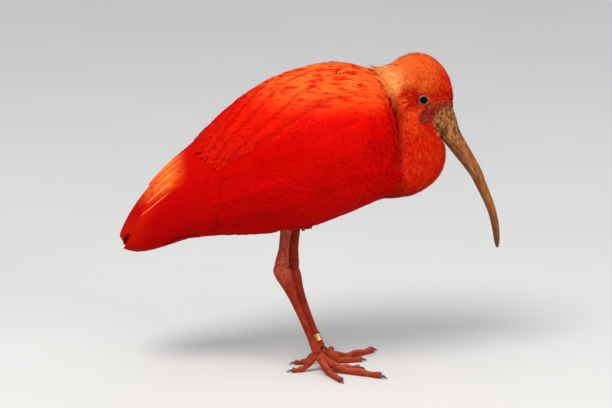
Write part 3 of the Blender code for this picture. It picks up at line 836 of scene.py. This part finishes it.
def skin_material():
    """One skin: scarlet under the coat, bare on the face and scaled on the legs."""
    look = Shading("skin", 0.6, specular=0.03, subsurface=0.01)
    fine = look.noise(2.4, 5)
    scales = look.cells(1.7, (1, 1, 0.7))
    on_leg = look.height.ramp(154, 150) * look.length.ramp(-72, -66)
    wrinkles = fine + look.cells(1.3)
    plates = look.math("MINIMUM", scales, 0.22) * 2.0
    look.bump(wrinkles + (plates - wrinkles) * on_leg, 0.6, 0.4)
    body = face_colour(look, plumage_colour(look), fine)
    return look.finish(look.mix(on_leg, body, leg_colour(look, scales)))


def bill_material(name, underside_shade):
    """Horn: mottled khaki at the root, earthy pink along the middle and darker at the tip, with painted shade
    over the lower mandible as strong as underside_shade.
    """
    look = Shading(name, 0.45, specular=0.12, subsurface=0.02)
    mottle = look.noise(5, 6, (1.3, 1, 0.8), 0.75)
    streak = look.noise(9, 4, (2.2, 2.2, 0.5))
    grain = look.noise(2.6, 4, (1.7, 1, 0.16), 0.6)
    look.bump(mottle + streak, 0.35, 0.4)
    colour = look.layers(
        look.mix(streak.ramp(0.35, 0.65), HORN_BROWN, HORN_PINK),
        (look.height.ramp(205, 246), look.mix(mottle.ramp(0.42, 0.56), HORN_FLECK, FACE_KHAKI)),
        (look.height.ramp(168, 125), HORN_TIP),
        (grain.ramp(0.5, 0.64) * 0.6, HORN_FLECK),
        (mottle.ramp(0.58, 0.68) * 0.5, HORN_FLECK),
        # Painted shade: the lower mandible darker along most of its length.
        (look.height.ramp(246, 225) * underside_shade, HORN_UNDERSIDE_SHADE),
    )
    return look.finish(colour, Roughness=mottle * 0.3 + 0.32)


def claw_material():
    look = Shading("claw", 0.35)
    grain = look.noise(1.4, 3)
    look.bump(grain, 0.3, 0.2)
    return look.finish(look.mix(grain.ramp(0.35, 0.7), (0.028, 0.016, 0.013), (0.11, 0.06, 0.045)))


def eye_material():
    """A wet dark eye: nearly black iris round a black pupil."""
    look = Shading("eye", 0.04, specular=0.07)
    away = look.distance((EYE[0], EYE[1] + EYE_RADIUS * EYE_FLATNESS, EYE[2]), (1, 0.2, 1))
    iris = look.mix(look.noise(1.1, 3).ramp(0.3, 0.7), (0.004, 0.0020, 0.0015), (0.002, 0.0012, 0.0010))
    return look.finish(look.mix(away.ramp(2.1, 1.8), iris, (0.001, 0.001, 0.001)))


def ring_material():
    look = Shading("ring_metal", 0.32)
    wear = look.noise(1.1, 5, (1, 1, 3))
    look.bump(wear, 0.2, 0.1)
    colour = look.mix(wear.ramp(0.35, 0.7), (0.62, 0.40, 0.12), (0.80, 0.62, 0.30))
    return look.finish(colour, Metallic=1.0, Roughness=wear * 0.3 + 0.22)


# Solid pieces


def grid_mesh(name, rings):
    """A skin through rings of points, closed round and capped at both ends."""
    rings = np.asarray(rings)
    rows, count = rings.shape[:2]
    index = np.arange(rows * count).reshape(rows, count)
    after = np.roll(index, -1, axis=1)
    faces = np.stack((index[:-1], after[:-1], after[1:], index[1:]), -1).reshape(-1, 4)
    mesh = mesh_from(name, rings.reshape(-1, 3), faces)
    shape = bmesh.new()
    shape.from_mesh(mesh)
    shape.verts.ensure_lookup_table()
    for row in (0, rows - 1):
        shape.faces.new([shape.verts[k] for k in index[row]])
    bmesh.ops.recalc_face_normals(shape, faces=shape.faces)
    shape.to_mesh(mesh)
    shape.free()
    return new_object(name, mesh)


def bill_half(name, upper):
    """One half of the bill in fine mesh, with its groove, worn ridges and nostril."""
    table = np.column_stack((np.linspace(0, 1, len(BILL)), BILL))
    shares = np.linspace(0 if upper else GAPE_FROM, 1, 150)
    rows = read(table, shares)
    ahead, behind = read(table, shares + 0.01), read(table, shares - 0.01)
    along = unit(np.stack((ahead[:, 0] - behind[:, 0], 0 * shares, ahead[:, 1] - behind[:, 1]), -1))
    up = np.stack((-along[:, 2], 0 * shares, along[:, 0]), -1)
    centre = np.stack((rows[:, 0], 0 * shares, rows[:, 1]), -1)
    depth, wide, lower = rows[:, 2], rows[:, 3], rows[:, 4]
    level = 2 * lower - 1
    meet = centre + up * (depth * level)[:, None]
    wide = np.maximum(wide * np.sqrt(1 - (0.55 * level) ** 2), 0.5)
    reach = depth * 2 * (1 - lower) - 0.15 if upper else -np.maximum(depth * 2 * lower - 0.15, 0.4)
    meet = meet + up * (0.15 if upper else -0.15)
    angles = np.linspace(0, math.pi, 41)
    across, rise = np.cos(angles), np.sin(angles)
    off = np.minimum(np.degrees(angles), 180 - np.degrees(angles))
    share = shares[:, None]
    groove = np.exp(-((off - (38 if upper else 30)) / 5.0) ** 2)
    strength = smoothstep(0.10, 0.2, share) * smoothstep(1.0, 0.8, share) * (0.07 if upper else 0.05)
    nostril = np.exp(-((off - 40) / 7.0) ** 2) * np.exp(-((share - 0.235) / 0.03) ** 2) * 0.12 * upper
    wear = 0.012 * np.sin(share * 260 + 3 * np.sin(angles * 3)) * smoothstep(0.5, 0.1, share)
    scale = 1 - groove * strength - nostril + wear
    edge = 1 - 0.12 * np.exp(-(off / 6.0) ** 2)
    out = reach[:, None] * np.abs(rise) ** 0.92 * scale
    rings = meet[:, None] + up[:, None] * out[..., None]
    rings[..., 1] += wide[:, None] * across * scale * edge
    return grid_mesh(name, rings)


def tube(name, path, across, front, radii, sides):
    """A tube along a path of drawing points, by the directions of its section and the half widths on them."""
    angles = np.linspace(0, 2 * math.pi, sides, endpoint=False)[:, None]
    offset = [
        np.cos(angles) * side * wide + np.sin(angles) * ahead * deep
        for side, ahead, (wide, deep) in zip(across, front, radii)
    ]
    return grid_mesh(name, np.asarray(path)[:, None] + np.array(offset))


def rounded_tube(name, path, radii, sides):
    """A tapered round tube along a path of drawing points."""
    along = unit(np.gradient(np.asarray(path), axis=0))
    side = unit(np.cross(along, (0, 0, 1.0)) + 1e-6)
    return tube(name, path, side, np.cross(side, along), np.stack((radii, radii), -1), sides)


def claw(name, side, kind):
    """A curved claw that leaves the toe's end and comes down to the floor."""
    bearing, turn, length, _, end = TOES[kind]
    angle = OUTWARD[side] * math.radians(LEGS[side]["turned"] + bearing + turn)
    heading = np.array((math.cos(angle), math.sin(angle), 0))
    start = toe_point(side, kind, length - 1.6, end)
    shares = np.linspace(0, 1, 16)
    reach = CLAW_LENGTH[kind] * shares
    path = start + heading * reach[:, None]
    path[:, 2] += np.sin(shares * math.pi * 0.9) - (start[2] - 0.6) * shares**2
    radii = 0.3 + (end * 0.74 - 0.3) * (1 - shares) ** 0.8
    made = rounded_tube(name, path, radii, 14)
    points = vertex_array(made.data)
    points[:, 2] = np.maximum(points[:, 2], 0.0)
    set_points(made.data, points)
    return made


def eyeball(name, sign):
    shape = bmesh.new()
    bmesh.ops.create_uvsphere(shape, u_segments=48, v_segments=32, radius=EYE_RADIUS * MM)
    place = Matrix.Translation(to_world((EYE[0], EYE[1] * sign, EYE[2])))
    bmesh.ops.transform(shape, verts=shape.verts, matrix=place @ Matrix.Diagonal((1, EYE_FLATNESS, 1, 1)))
    mesh = bpy.data.meshes.new(name)
    shape.to_mesh(mesh)
    shape.free()
    return new_object(name, mesh)


def leg_ring():
    """A plain band with rolled rims round the left leg."""
    heel, ball = (np.array(LEGS["left"][key], float) for key in ("heel", "ball"))
    axis = unit(heel - ball)
    centre = heel + (ball - heel) * RING_SHARE
    side = unit(np.cross(axis, (0, 1.0, 0)))
    front = np.cross(axis, side)
    half = RING_HEIGHT / 2
    profile = [(-half, -0.6), (-half, -0.1), (-half + 0.5, 0.1), (-half + 1.0, -0.05), (half - 1.0, -0.05),
               (half - 0.5, 0.1), (half, -0.1), (half, -0.6), (half - 0.4, -0.7), (-half + 0.4, -0.7)]
    angles = np.linspace(0, 2 * math.pi, 64, endpoint=False)[:, None]
    spokes = np.cos(angles) * side + np.sin(angles) * front
    points = [centre + axis * along + (RING_RADIUS + out) * spokes for along, out in profile]
    index = np.arange(len(profile) * 64).reshape(len(profile), 64)
    around, after = np.roll(index, -1, axis=1), np.roll(index, -1, axis=0)
    faces = np.stack((index, around, np.roll(after, -1, axis=1), after), -1).reshape(-1, 4)
    return new_object("leg_band", mesh_from("leg_band", np.concatenate(points), faces))


# Skin

FLESH = ("head", "neck_upper", "neck_lower", "trunk", "wing_left", "wing_right", "tail")
LEG_NODES = [
    f"{bone}_{side}" for side in LEGS
    for bone in ("shin", "tarsus", "foot", "toe_middle", "toe_inner", "toe_outer", "toe_hind")
]


def bareness(places):
    """1 on the bare face between the bill and the eye and on the eyelids, 0 under the coat."""
    x, y, z = places[:, 0], np.abs(places[:, 1]), places[:, 2]
    away = np.minimum.reduce([
        np.hypot((x - spot_x) * wide, (z - spot_z) * high) + smaller
        for spot_x, spot_z, wide, high, smaller in BARE_SPOTS
    ])
    lid = np.sqrt((x - EYE[0]) ** 2 + ((y - EYE[1]) * 0.4) ** 2 + (z - EYE[2]) ** 2)
    return np.maximum(smoothstep(13.0, 11.5, away), smoothstep(6.2, 5.4, lid))


def make_skin(guide_obj, tree):
    """The guide drawn inwards by the coat's depth, with bare face and lids."""
    skin = guide_obj.copy()
    skin.data = guide_obj.data.copy()
    skin.name = skin.data.name = "skin"
    bpy.context.scene.collection.objects.link(skin)
    points, normals = vertex_array(skin.data), vertex_array(skin.data, "normal")
    places = to_drawing(points)
    thick = np.array([
        tree.ray_cast(Vector(p) - Vector(n) * 1e-4, -Vector(n))[3] or 0.02 for p, n in zip(points, normals)
    ]) / MM
    depth = np.minimum(COAT_DEPTH, 0.3 * thick)
    depth = np.where(places[:, 2] > HEAD_FROM_HEIGHT, np.minimum(depth, HEAD_COAT_DEPTH), depth)
    bare = bareness(places)
    depth = np.where(bare > 0, depth * (1 - bare) + 0.1, depth)
    set_points(skin.data, points - normals * depth[:, None] * MM)
    refine_face(skin)
    return skin


def refine_face(skin):
    """Finer mesh on the face, then the lids' rims and the sockets behind them."""
    shape = bmesh.new()
    shape.from_mesh(skin.data)
    for _ in range(2):
        centre = to_world((126, 0, 268))
        near = [
            edge for edge in shape.edges
            if all((vert.co - Vector(centre)).length < 30 * MM for vert in edge.verts)
            and all(abs(vert.co.y) > 2 * MM for vert in edge.verts)
        ]
        bmesh.ops.subdivide_edges(shape, edges=near, cuts=1, use_grid_fill=True, smooth=0.4)
    shape.to_mesh(skin.data)
    shape.free()
    points = to_drawing(vertex_array(skin.data))
    sign = np.sign(points[:, 1])
    offset = np.stack((points[:, 0] - EYE[0], points[:, 2] - EYE[2]), -1)
    away = np.linalg.norm(offset * (0.94, 1.06), axis=1)
    near = (np.abs(points[:, 1]) > 8) & (away < 12)
    ball = EYE[1] + EYE_RADIUS * EYE_FLATNESS * np.sqrt(np.clip(1 - (away / EYE_RADIUS) ** 2, 0, 1))
    rim = 0.55 * np.exp(-((away - LID_RADIUS - 0.4) / 0.5) ** 2)
    fold = -0.35 * np.exp(-((away - LID_RADIUS - 1.9) / 0.5) ** 2)
    outer = 0.3 * np.exp(-((away - LID_RADIUS - 2.8) / 0.7) ** 2)
    over_ball = np.maximum(np.abs(points[:, 1]), ball + 0.25 - 2.5 * smoothstep(5.0, 8.0, away))
    lids = over_ball - 5 * smoothstep(LID_RADIUS, LID_RADIUS - 0.7, away)
    points[:, 1] = np.where(near, sign * (lids + rim + fold + outer), points[:, 1])
    set_points(skin.data, to_world(points))
    skin.data.shade_smooth()


def bone_lines():
    """The lines of the leg bones and toes, each as points with radii."""
    lines = []
    for side, leg in LEGS.items():
        knee, heel, ball = (np.array(leg[key], float) for key in ("knee", "heel", "ball"))
        lines.append((np.linspace(heel, knee, 30), 2.6))
        lines.append((np.linspace(ball, heel, 50), 2.3))
        for kind, (_, _, length, _, end) in TOES.items():
            reach = np.linspace(2, length, 40)
            lines.append((np.array([toe_point(side, kind, r, end) for r in reach]), 1.9))
    return lines


def scaled(points, normals):
    """Raises a row of broad scales along the front of each bone and the top of each toe."""
    best = np.full(len(points), 1e9)
    raised = np.zeros(len(points))
    for line, pitch in bone_lines():
        steps = np.concatenate(([0], np.cumsum(np.linalg.norm(np.diff(line, axis=0), axis=1))))
        gaps = np.linalg.norm(points[:, None] - line[None], axis=2)
        nearest = gaps.argmin(1)
        gap = gaps[np.arange(len(points)), nearest]
        along = unit(np.gradient(line, axis=0))[nearest]
        place = steps[nearest] + ((points - line[nearest]) * along).sum(1)
        flat = along[:, 2] ** 2 < 0.6
        face = np.where(flat, normals[:, 2], normals[:, 0])
        wave = 1 - np.abs((place / pitch) % 1 - 0.5) * 2
        ridge = 0.26 * np.minimum(wave * 3, 1) * smoothstep(-0.1, 0.45, face)
        closer = gap < best
        raised = np.where(closer, ridge, raised)
        best = np.minimum(best, gap)
    return raised


def oval_limb(top, bottom, radii):
    """A straight part of the leg with an oval section, deepest front to back."""
    path = np.linspace(top, bottom, 60)
    along = unit(path[-1] - path[0])
    side = unit(np.array((0, 1.0, 0)) - along * along[1])
    front = np.cross(side, along)
    deep, wide = read(radii, np.linspace(0, 1, 60)).T
    return tube("limb", path, [side] * 60, [front] * 60, np.stack((wide, deep), -1), 24)


def jointed_toe(side, kind):
    """A toe from inside the ball of the foot to the claw, swollen at its joints and padded below."""
    _, _, length, root, end = TOES[kind]
    reach = np.linspace(1.0, length, 46)
    share = reach / length
    radii = root + 0.5 + (end - root - 0.2) * share + 0.36 * np.cos(share * 2 * math.pi * 3)
    path = [toe_point(side, kind, r, radius) for r, radius in zip(reach, radii)]
    return rounded_tube("toe", path, radii, 18)


def make_legs():
    """The bare legs and toes in fine mesh with their scales."""
    parts = []
    for side, leg in LEGS.items():
        parts.append(oval_limb(leg["knee"], leg["heel"], SHIN_RADII))
        heel, ball = (np.array(leg[key], float) for key in ("heel", "ball"))
        parts.append(oval_limb(heel + unit(heel - ball) * HEEL_ABOVE, ball, TARSUS_RADII))
        parts += [jointed_toe(side, kind) for kind in TOES]
    mesh = merge([part.data for part in parts], bpy.data.meshes.new("legs"))
    for part in parts:
        bpy.data.objects.remove(part)
    legs = made_whole(new_object("legs", mesh), LEG_VOXEL)
    relaxed(legs.data, 8)
    points, normals = to_drawing(vertex_array(legs.data)), vertex_array(legs.data, "normal")
    points += normals * scaled(points, normals)[:, None]
    points[:, 2] = np.maximum(points[:, 2], 0.0)
    set_points(legs.data, to_world(points))
    return legs


def joined(skin, legs):
    """The body's skin and the legs', which rise into it, as one piece."""
    merge((skin.data, legs.data), skin.data)
    bpy.data.objects.remove(legs)
    skin.data.shade_smooth()
    return skin


# Long feathers that are placed one by one


def long_template(rows, tip):
    columns = np.array((-1, -0.8, -0.55, -0.3, -0.07, 0, 0.07, 0.3, 0.55, 0.8, 1))

    def width_at(s):
        past = np.maximum(s - tip, 0) ** 2 / (1 - tip) ** 2
        return np.minimum(1, (s / 0.12 + 0.12)) * np.sqrt(np.clip(1 - past, 0.0015, 1))

    made = vane_template(np.array(rows), columns, width_at, 0.06)
    made["quill"] = np.where(np.abs(made["t"]) < 0.01, 0.35, 0) * (1 - made["s"] * 0.7)
    return made


def vanes_piece(name, points, template, tones, material):
    """Long feathers as one piece, with their patches of the bake map side by side."""
    count = len(points)
    spread = np.stack((np.linspace(0.05, 0.93, count), np.full(count, 0.05)), -1)
    piece(feather_mesh(name, np.array(points), template, tones, 0.8, spread, LONG_PATCH), material, "plumage")


def body_vanes(name, sign, feathers, template, tones, material):
    """Vanes on the wing, each given by x and angle at its root and tip, its width and its lift."""
    points = []
    for x0, deg0, x1, deg1, width, lift in feathers:
        s = template["s"]
        x = x0 + (x1 - x0) * s
        degrees = deg0 + (deg1 - deg0) * s**0.9
        here = on_body(x, degrees, 0)
        beside = on_body(x, degrees + 1, 0)
        per_degree = np.linalg.norm(beside - here, axis=1)
        turned = degrees + template["across"] * width / np.maximum(per_degree, 0.05)
        rise = (lift + 2.5) * smoothstep(0.05, 0.5, s) - 2.5 + template["quill"]
        rise += template["height"] * width * 0.6 * smoothstep(0.3, 0.65, s)
        points.append(on_body(x, turned, rise) * (1, sign, 1))
    vanes_piece(name, points, template, tones, material)


def tail_vanes(name, template, face, material):
    """Twelve tail feathers, fanned a little and arched from side to side, over or under the tail."""
    points = []
    # From the outermost pair inwards, so the middle pair lies on top
    for slot in [sign * (k + 0.5) for k in range(5, -1, -1) for sign in (1, -1)]:
        s = template["s"]
        tip = -184.5 + abs(slot) * 0.9
        x = -100 + (tip + 100) * s
        z, _, thick = read(TAIL, x).T
        fall = read(TAIL, x + 1)[:, 0] - read(TAIL, x - 1)[:, 0]
        slope = unit(np.stack((np.full(len(x), 2.0), 0 * x, fall), -1))
        up = np.stack((-slope[:, 2], 0 * x, slope[:, 0]), -1)
        y = slot * (1.2 + 2.5 * s) + template["across"] * (12 + 2 * s)
        lift = thick + 0.3 + 1.8 * (1 - abs(slot) / 5.5) + template["height"] * 8 + template["quill"]
        points.append(np.stack((x, y, z), -1) + up * (face * lift - TAIL_ARCH * y**2)[:, None])
    vanes_piece(name, points, template, rng.uniform(0.3, 0.7, len(points)), material)


def covert_lift(degrees):
    """How high the coverts lie: just over the long feathers, and under the back's feathers above."""
    return 1.25 + 0.011 * min(degrees, 10) - 0.025 * max(degrees - 10, 0)


# The set: camera, floor and light


def placed(name, data, place, rotation):
    obj = new_object(name, data)
    obj.location = place
    obj.rotation_euler = rotation
    return obj


def make_stage():
    floor = bpy.data.meshes.new("floor")
    corners = [(x * FLOOR_REACH, y * FLOOR_REACH, 0) for x, y in ((-1, -1), (1, -1), (1, 1), (-1, 1))]
    floor.from_pydata(corners, [], [(0, 1, 2, 3)])
    look = Shading("floor", 0.75, specular=0.2)
    floor.materials.append(look.finish(look.mix(look.noise(330, 2), (0.60, 0.60, 0.59), (0.66, 0.66, 0.65))))
    new_object("floor", floor)


def make_light(name, place, target, size, power, colour):
    light = bpy.data.lights.new(name, "AREA")
    light.shape = "DISK"
    light.size = size
    light.energy = power
    light.color = colour
    placed(name, light, place, (Vector(target) - Vector(place)).to_track_quat("-Z", "Y").to_euler())


def make_ceiling():
    """A broad even light from above, so the floor stays pale far behind the bird."""
    light = bpy.data.lights.new("ceiling", "SUN")
    light.energy = 0.8
    light.angle = math.radians(70)
    placed("ceiling", light, (0, 0, 0), (math.radians(25), math.radians(-15), 0))


def make_camera():
    """The photograph's view: from the bird's right side, a little behind it and a little above."""
    elevation, azimuth = math.radians(CAMERA_ELEVATION), math.radians(CAMERA_AZIMUTH)
    back = Vector((math.sin(azimuth) * math.cos(elevation), -math.cos(azimuth) * math.cos(elevation),
                   math.sin(elevation)))
    camera = bpy.data.cameras.new("camera")
    camera.sensor_width = SENSOR
    camera.lens = SENSOR * CAMERA_DISTANCE / VIEW_WIDTH
    place = Vector(to_world((0, 0, 169))) + back * CAMERA_DISTANCE
    bpy.context.scene.camera = placed("camera", camera, place, (-back).to_track_quat("-Z", "Y").to_euler())


def make_world():
    world = bpy.data.worlds.new("studio")
    bpy.context.scene.world = world
    world.use_nodes = True
    background = world.node_tree.nodes["Background"]
    background.inputs["Color"].default_value = (0.80, 0.84, 0.90, 1)
    background.inputs["Strength"].default_value = 0.55


def fringe(roots):
    """1 at the neck's rear border, where the plumes are longest and stand off the shoulder."""
    return smoothstep(9, 1, past_crease(roots)) * smoothstep(185, 225, roots[:, 2])


def into_shoulder(roots):
    """0 at the neck's border and 1 where the body's feathers have reached their full size."""
    return smoothstep(0, -60, past_crease(roots))


def back_lift(roots):
    """How high the back's feathers end: over the wing's long feathers, and down on them at the border."""
    x = roots[:, 0]
    inside = body_angle(roots) - 30 - np.maximum(-66 - x, 0)
    border = smoothstep(10, 0, inside) * smoothstep(-48, -62, x)
    return 0.5 + 1.25 * smoothstep(-40, -100, x) - 1.5 * border


make_camera()
make_stage()
make_world()
centre = tuple(to_world((0, 0, 200)))
make_light("key", (-0.9, -1.3, 2.5), centre, 1.2, 60, (1.0, 0.96, 0.90))
make_light("fill", (2.0, -1.9, 1.2), centre, 1.6, 38, (1.0, 0.97, 0.93))
make_ceiling()
bpy.context.scene.view_settings.view_transform = "Standard"
bpy.context.scene.view_settings.look = "None"

# The guide and the skin
guide_obj = filled(remeshed("guide", FLESH, SWELL, SKIN_VOXEL), HOLLOW, SKIN_VOXEL)
push(guide_obj.data, folds(to_drawing(vertex_array(guide_obj.data))))
guide = Guide(guide_obj.data)
skin = joined(make_skin(guide_obj, guide.tree), make_legs())
piece(skin, skin_material(), "plumage", *FLESH, *LEG_NODES)

# Bill, eyes, claws and ring
nail, wet = claw_material(), eye_material()
piece(bill_half("bill_above", True), bill_material("horn", 0.0), "horn", "bill_upper")
# The lower mandible's horn carries painted shade.
piece(bill_half("bill_below", False), bill_material("lower_horn", 0.5), "horn", "bill_lower")
for side, sign in OUTWARD.items():
    piece(eyeball(f"eyeball_{side}", sign), wet, "eye", f"eye_{side}")
    for kind in TOES:
        piece(claw(f"nail_{kind}_{side}", side, kind), nail, "claw_horn", f"claw_{kind}_{side}")
piece(leg_ring(), ring_material(), "ring_metal", "leg_ring")

# The coat's regions, by the middles of the guide's faces
places = guide.centres
covered = bareness(places) < 0.5
ahead = past_crease(places)
angle = body_angle(places)
x, z = places[:, 0], places[:, 2]
beside = (angle < 40) & (angle > -66)

tuft = tuft_template(5, 0.5, (0.0, 0.5, 1.0))
columns = np.array((-1, -0.5, 0, 0.5, 1))
plume = vane_template(
    np.array((0, 0.3, 0.55, 0.75, 0.9, 1.0)), columns,
    lambda s: np.sqrt(np.clip(1 - (2 * s - 1) ** 2 * np.where(s > 0.5, 0.97, 0.6), 0, 1)), 0.05, 0.05,
)
lance = vane_template(
    np.array((0, 0.15, 0.35, 0.55, 0.7, 0.82, 0.92, 1.0)), columns,
    lambda s: np.minimum(0.4 + s * 2, 1) * np.sqrt(np.clip(1.015 - s**2.2, 0, 1)), 0.04, 0.02,
)

head_coat = coat_material("head_plumes", FLAME, 0.15, 2.0, 0.1, 91, shaded=0.4, mottled=0.5)
neck_coat = coat_material("neck_plumes", FLAME, 0.12, 2.0, 0.1, 91, shaded=0.3, mottled=0.28)
nape_coat = coat_material("nape_plumes", NAPE_ORANGE, 0.4, 2.0, 0.2, 70, shaded=0.3, mottled=0.3)
body_coat = coat_material("body_plumes", BRIGHT_RED, 0.12, 6.0, 0.15)
back_coat = coat_material("back_plumes", FLAME, 0.25, 9.0, 0.20)
vane_coat = coat_material("long_vanes", FLAME, 0.25, 16.0, 0.12, quills=0.8)

# The coat, from the bill backwards
lay("coat_head", (ahead > -1) & (z > 244), 1.7, front_flow, lambda r: 5.2 + 4.5 * fringe(r),
    lambda r: 3.2 + 0.8 * fringe(r), tuft, (-1.6, lambda r: 1.1 + 0.5 * fringe(r)), head_coat, "front", 0.3)
lay("coat_neck", (ahead > -2) & (z <= 250), 2.1, front_flow, lambda r: 8.5 + 3.5 * fringe(r), 3.6, tuft,
    (-2.0, lambda r: 0.7 + 0.6 * fringe(r)), neck_coat, "front", 0.16)
lay("coat_nape", (ahead > 0) & (ahead < 14) & (z > 268), 2.3, nape_flow, 17, 4.4, tuft, (-0.4, 4.2),
    nape_coat, "front", 0.25)
for side, sign in OUTWARD.items():
    here = places[:, 1] * sign > 0
    lay(f"coat_side_{side}", (ahead < 3) & (x > -62) & beside & here, 3.5, body_flow,
        lambda r: 14 + 14 * into_shoulder(r), lambda r: 5.5 + 3.5 * into_shoulder(r), plume,
        (-2.2, 0.35), body_coat, "body", 0.08)
    lay(f"coat_back_{side}", (ahead < 2) & (x > -122) & (angle >= 30 + np.maximum(-66 - x, 0)) & here, 3.7,
        body_flow, lambda r: 16 + 18 * smoothstep(70, 10, r[:, 0]) - 14 * smoothstep(-60, -110, r[:, 0]),
        lambda r: 6 + 2 * smoothstep(70, 10, r[:, 0]), lance, (-2.2, back_lift), back_coat, "body", 0.06)
lay("coat_under", (ahead < 3) & (x > -150) & (angle <= -60), 3.6, body_flow, 20, 7, plume, (-2.2, 0.45),
    body_coat, "body", 0.10)

# The long feathers of wings and tail
rows = (0, 0.05, 0.12, 0.22, 0.34, 0.46, 0.58, 0.69, 0.78, 0.86, 0.92, 0.96, 0.985, 1.0)
blade, covert = long_template(rows, 0.86), long_template(rows, 0.72)
feathers = [(*quill, 1.9 - 0.12 * k) for k, quill in enumerate(QUILLS)][::-1]
for side, sign in OUTWARD.items():
    body_vanes(f"wing_vanes_{side}", sign, feathers, blade, np.linspace(0.3, 0.9, len(QUILLS)), vane_coat)
    for step, (kind, root, tip, width) in enumerate(COVERT_ROWS):
        row = [
            (root + 0.1 * a, a + 3, tip + 0.2 * a + rng.uniform(-6, 6), a, width, covert_lift(a) + 0.3 * step)
            for a in np.linspace(-57, 60, 16)
        ]
        tones = rng.uniform(0.15, 0.6, len(row))
        body_vanes(f"wing_coverts_{kind}_{side}", sign, row, covert, tones, body_coat)
tail_vanes("tail_vanes_over", blade, 1, vane_coat)
tail_vanes("tail_vanes_under", blade, -1, vane_coat)
bpy.data.objects.remove(guide_obj)
